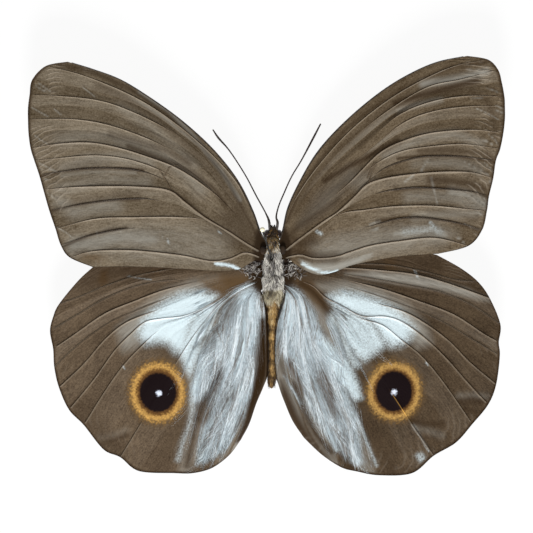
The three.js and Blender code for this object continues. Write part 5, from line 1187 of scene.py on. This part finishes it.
for name, (body, material, slot, bands) in coats.items():
    rng = np.random.default_rng(body["seed"])
    points, outward = body["points"], body["outward"]
    t = np.linspace(0, 1, len(coat["radii"]))[:, None]
    strands = []
    for fromY, toY, count, length, toneMiddle, toneSpread, lift, fanOut in bands:
        ringsHere = np.where((points[:, 0, 1] <= fromY) & (points[:, 0, 1] >= toY))[0]
        for _ in range(count):
            ring, side = rng.choice(ringsHere), rng.integers(points.shape[1])
            root, away = points[ring, side], outward[ring, side]
            fromPin = np.hypot(root[0] - coat["pinPlace"][0], root[1] - coat["pinPlace"][1])
            if away[2] < coat["bareBelly"] or fromPin < coat["bareRound"] and root[2] > 5:
                continue
            sideways = rng.normal(0, coat["sideways"]) + fanOut * away[0]
            comb = np.array([sideways, -1, rng.normal(0, coat["upwards"])])
            comb -= away * (comb @ away)
            reach = length * rng.uniform(0.6, 1.2)
            wave = np.array([rng.normal(0, coat["wave"]), 0, 0]) * np.sin(t * 3)
            rise = away * (lift * rng.uniform(0.5, 1.1) * np.sin(t * 2.2))
            line = root + (comb * t + wave) * reach + rise
            line[:, 2] = np.maximum(line[:, 2], coat["lowest"])
            tone = np.clip(toneMiddle + rng.normal(0, toneSpread) + placeTone(body, root, away), 0, 1)
            strands.append((line, np.array(coat["radii"]), np.full(len(t), tone)))
    fur = makeStrands(name, strands, material)
    finishPiece(fur, slot)
    print(name, len(fur.data.polygons), "faces")


def speckledMaterial(name, values, pattern, scale, colours):  # two colours mixed by one pattern
    material, tree, shader = newMaterial(name, values)
    place = addNode(tree, "ShaderNodeTexCoord", output="Object")
    share = addNode(tree, pattern, None, {"Vector": place, "Scale": scale})
    colour = addNode(tree, mixNode, rgba, {0: share, 6: linear(colours[0]), 7: linear(colours[1])}, 2)
    tree.links.new(colour, shader.inputs["Base Color"])
    return material, tree, shader, share


# Compound eye: glossy and almost black, with a red-brown glow. Real facets are 0.03 mm, drawn at 0.09 mm.
eyeFacets, tree, shader, facets = speckledMaterial(
    "eyeFacets", {"Roughness": 0.28, "Coat Weight": 0.3}, "ShaderNodeTexVoronoi", 11000, ("#2a100b", "#0c0504"))
bump = addNode(tree, "ShaderNodeBump", {"invert": True}, {
    "Height": facets, "Strength": 0.6, "Distance": 0.02 * mm})
tree.links.new(bump, shader.inputs["Normal"])


def roundLump(name, middle, half, material, rings=28, sides=40, roughness=0.0):
    down = np.linspace(0, math.pi, rings)[1:-1]
    around = np.linspace(0, 2 * math.pi, sides, endpoint=False)
    unit = [[math.sin(a) * math.cos(b), math.sin(a) * math.sin(b), math.cos(a)] for a in down for b in around]
    unit = np.array(unit + [[0, 0, 1], [0, 0, -1]])
    swell = 1 + roughness * np.array([noise.noise(tuple(p * 3)) for p in unit])
    points = unit * swell[:, None] * half + middle
    return closedSkin(name, points[:-2].reshape(len(down), sides, 3), points[-2:], material, outward=-1)


# Eyes, small scales over the roots of the forewings, and dry muscle at the wing roots, drawn on the right.
lumps = {
    "eye": {"middle": (1.38, 6.05, 4.28), "half": (0.7, 0.84, 0.94), "slot": "eye", "skin": eyeFacets, "rough": 0},
    "tegula": {"middle": (2.15, 3, 6.15), "half": (0.58, 0.83, 0.3), "slot": "fur", "skin": tegulaSkin,
               "rough": 0.1},
    "wingRoot": {"middle": (3.6, -0.2, 4.0), "half": (2.3, 1.8, 0.5), "slot": "fur", "skin": rootSkin,
                 "rough": 0.25},
}
for side, turn in sideTurns.items():
    for kind, lump in lumps.items():
        middle = (toSide(lump["middle"][0], turn), *lump["middle"][1:])
        made = roundLump(f"{kind}_{side}Lump", middle, lump["half"], lump["skin"], roughness=lump["rough"])
        finishPiece(made, lump["slot"], *([] if kind == "wingRoot" else [f"{kind}_{side}"]))

# Feelers, palps and legs are dark brown chitin with a low gloss.
darkCuticle = strandMaterial("darkCuticle", [(0, "#0d0907"), (0.5, "#2a1e16"), (1, "#6b5a45")],
                             {"Roughness": 0.4, "Specular IOR Level": 0.45})
limbs = {  # x, y, z and radius at points along each; those without a side are drawn on the right
    "antenna_left": [(-0.3, 6.9, 5.1, 0.27), (-0.5, 8.6, 5.65, 0.24), (-1.05, 9.9, 5.8, 0.15),
                     (-2.95, 13.4, 6, 0.14), (-4.9, 17.1, 6.1, 0.13), (-8.1, 22, 6.2, 0.14),
                     (-10.1, 24.3, 6.2, 0.2), (-11.1, 25.8, 6.2, 0.12)],
    "antenna_right": [(1, 6.9, 5.1, 0.27), (1.15, 8.3, 5.6, 0.25), (0.9, 9.2, 5.8, 0.18), (1.35, 11.3, 5.9, 0.14),
                      (2.25, 13.5, 6, 0.14), (3.8, 16.9, 6.1, 0.13), (5.6, 19.9, 6.2, 0.14), (7.9, 24.2, 6.2, 0.2),
                      (9.3, 26.9, 6.2, 0.14)],
    "palp": [(0.62, 6.8, 3.9, 0.24), (0.62, 7.3, 4.15, 0.22), (0.56, 7.65, 4.6, 0.1)],
    "leg_middle": [(1, 1.3, 1.2, 0.42), (3.3, 2.6, 2.4, 0.34), (3, -0.4, 0.5, 0.24), (3.5, -3.4, 0.15, 0.15)],
    "leg_hind": [(0.9, -1.7, 1.1, 0.42), (3.1, -3.6, 2.2, 0.34), (2.2, -6.4, 0.45, 0.24), (2.6, -9.6, 0.15, 0.15)],
}
limbKinds = {  # number of spines, length of a segment and depth of the joint between two
    "antenna": (0, 0.4, 0.08), "palp": (50, 1.2, 0.1), "leg_middle": (60, 2.2, 0.16), "leg_hind": (60, 2.2, 0.16),
}
limb = {
    "steps": 90, "sides": 8, "spineRadii": (0.03, 0.025, 0.008), "spineTone": 0.4, "spineLean": 0.25, "seed": 41,
}


def limbStrands(route, rng, spines, segmentLength, jointDepth):
    line = smoothPath(route, limb["steps"])
    points, radius = line[:, :3], line[:, 3]
    length = pathLengths(points)
    radius = radius * (1 - jointDepth * (np.sin(math.pi * length / segmentLength) ** 8))
    points[:, 2] = np.maximum(points[:, 2], radius)
    strands = [(points, radius, 0.25 + 0.2 * np.sin(length * 5) ** 2)]
    for _ in range(spines):
        n = rng.integers(5, limb["steps"] - 2)
        away = rng.normal(size=3)
        away /= np.linalg.norm(away)
        forward = points[n + 1] - points[n]
        forward /= np.linalg.norm(forward)
        tip = points[n] + away * radius[n] * 1.5 + forward * limb["spineLean"]
        tip[2] = max(tip[2], 0.02)
        spine = np.array([points[n], (points[n] + tip) / 2, tip])
        strands.append((spine, np.array(limb["spineRadii"]), np.full(3, limb["spineTone"])))
    return strands


rng = np.random.default_rng(limb["seed"])
for side, turn in sideTurns.items():
    for kind, shape in limbKinds.items():
        name = f"{kind}_{side}"
        route = limbs.get(name) or [(toSide(x, turn), y, z, radius) for x, y, z, radius in limbs[kind]]
        made = makeStrands(name + "Limb", limbStrands(route, rng, *shape), darkCuticle, sides=limb["sides"])
        finishPiece(made, "fur" if kind == "palp" else "dark_cuticle", name)
print("feelers, palps and legs made")

# Tangle of dry muscle and hair between the wing roots and the thorax.
tangle = {
    "count": 90, "middles": [(-4.1, -0.6), (4.4, -0.6)], "half": (1.4, 1.3),
    "start": (4.7, 5.3), "keep": (4.6, 6.2),  # heights where a strand starts and where it stays
    "steps": 6, "stepLength": 0.22, "turning": 0.7, "rising": 0.2, "finePoints": 11, "radius": (0.03, 0.09),
    "tone": (0.45, 0.2), "sides": 5, "seed": 51,
}
rng = np.random.default_rng(tangle["seed"])
strands = []
for middle in tangle["middles"]:
    for _ in range(tangle["count"]):
        start = [m + rng.uniform(-1, 1) * half for m, half in zip(middle, tangle["half"])]
        start = np.array(start + [rng.uniform(*tangle["start"])])
        angle = rng.uniform(0, 2 * math.pi) + np.cumsum(rng.normal(0, tangle["turning"], tangle["steps"]))
        rising = rng.normal(0, tangle["rising"], tangle["steps"])
        steps = np.stack([np.cos(angle), np.sin(angle), rising], -1) * tangle["stepLength"]
        line = smoothPath(start + np.cumsum(steps, axis=0), tangle["finePoints"] - 1)
        line[:, 2] = np.clip(line[:, 2], *tangle["keep"])
        taper = np.sin(np.linspace(0.3, 2.9, tangle["finePoints"]))
        strands.append((line, rng.uniform(*tangle["radius"]) * taper,
                        np.full(tangle["finePoints"], np.clip(rng.normal(*tangle["tone"]), 0, 1))))
finishPiece(makeStrands("wingRootTangle", strands, bodyHair, sides=tangle["sides"]), "fur")

# Pin: a thin steel shaft in black enamel, glossy and nearly black, with a melted ball on top.
pin = {
    "entry": (-0.1, 1.7, 7.2), "lean": (-0.14, 0.445, 1),  # where it enters the thorax, and its step for 1 mm of z
    "radius": 0.2, "low": 0.35, "high": 18.55, "pointLength": 1.6, "shaftLow": 2.2, "tone": 0.4, "sides": 24,
    "headHalf": (0.45, 0.45, 0.36), "headRings": 40, "headSides": 56, "headRoughness": 0.01,
}
blackEnamel = strandMaterial("blackEnamel", [(0, "#040303"), (0.6, "#0e0d0c"), (1, "#24211e")],
                             {"Roughness": 0.25, "Specular IOR Level": 0.6, "Coat Weight": 0.4})
levels = np.concatenate([np.linspace(pin["low"], pin["low"] + pin["pointLength"], 8),
                         np.linspace(pin["shaftLow"], pin["high"], 60)])
shaft = np.array(pin["entry"]) + np.array(pin["lean"]) * (levels - pin["entry"][2])[:, None]
shaftRadius = pin["radius"] * np.clip((levels - pin["low"]) / pin["pointLength"], 0.1, 1)
shaftStrand = (shaft, shaftRadius, np.full(len(shaft), pin["tone"]))
finishPiece(makeStrands("pinShaft", [shaftStrand], blackEnamel, sides=pin["sides"]), "pin_shaft", "pin_shaft")

# Melted nylon ball: glossy cream, a little deeper in colour in patches.
creamNylon = speckledMaterial("creamNylon", {"Roughness": 0.22, "Coat Weight": 0.5, "IOR": 1.53},
                              noiseNode, 1600, ("#fbf7e2", "#e9e0b4"))[0]
finishPiece(roundLump("pinHead", pinHeadMiddle, pin["headHalf"], creamNylon, pin["headRings"], pin["headSides"],
                      pin["headRoughness"]), "pin_head", "pin_head")
print("pin made")

# Floor, light and camera. The paper glows a little, so that it stays white under soft light.
table = {"half": 3, "grey": 0.07, "glow": 0.93}
half = table["half"]
floorMesh = bpy.data.meshes.new("floor")
corners = [(-half, -half, 0), (half, -half, 0), (half, half, 0), (-half, half, 0)]
floorMesh.from_pydata(corners, [], [(0, 1, 2, 3)])
floor = addObject("floor", floorMesh)
floorMesh.materials.append(newMaterial("floorPaper", {
    "Base Color": (table["grey"], table["grey"], table["grey"], 1), "Roughness": 1, "Specular IOR Level": 0,
    "Emission Color": (1, 1, 1, 1), "Emission Strength": table["glow"]})[0])

studio = {"fill": 0.38, "keyPower": 9.5, "keySize": 0.22, "keyDistance": 0.8, "keyElevation": 34}
world = bpy.data.worlds.new("studio")
bpy.context.scene.world = world
world.use_nodes = True
world.node_tree.nodes["Background"].inputs["Color"].default_value = (1, 1, 1, 1)
world.node_tree.nodes["Background"].inputs["Strength"].default_value = studio["fill"]
keyLight = bpy.data.lights.new("windowLight", "AREA")
keyLight.energy, keyLight.size = studio["keyPower"], studio["keySize"]
key = addObject("windowLight", keyLight)
rise = math.radians(studio["keyElevation"])
key.location = (0, -studio["keyDistance"] * math.cos(rise), studio["keyDistance"] * math.sin(rise))
key.rotation_euler = (math.pi / 2 - rise, 0, 0)

view = {
    "pixels": 533, "pixelSize": 90 / 476,  # mm of the wings' level in each pixel of a square picture
    "distance": 1.0, "wingHeight": 6.0, "middle": (0, -0.16), "sensor": 36,
}
camera = addObject("camera", bpy.data.cameras.new("camera"))
camera.location = (view["middle"][0] * mm, view["middle"][1] * mm, view["distance"] + view["wingHeight"] * mm)
camera.data.sensor_width = view["sensor"]
camera.data.lens = view["sensor"] * view["distance"] / (view["pixels"] * view["pixelSize"] * mm)
camera.data.clip_start, camera.data.clip_end = 0.01, 10
bpy.context.scene.camera = camera
bpy.context.scene.view_settings.view_transform = "Standard"
print("scene made")
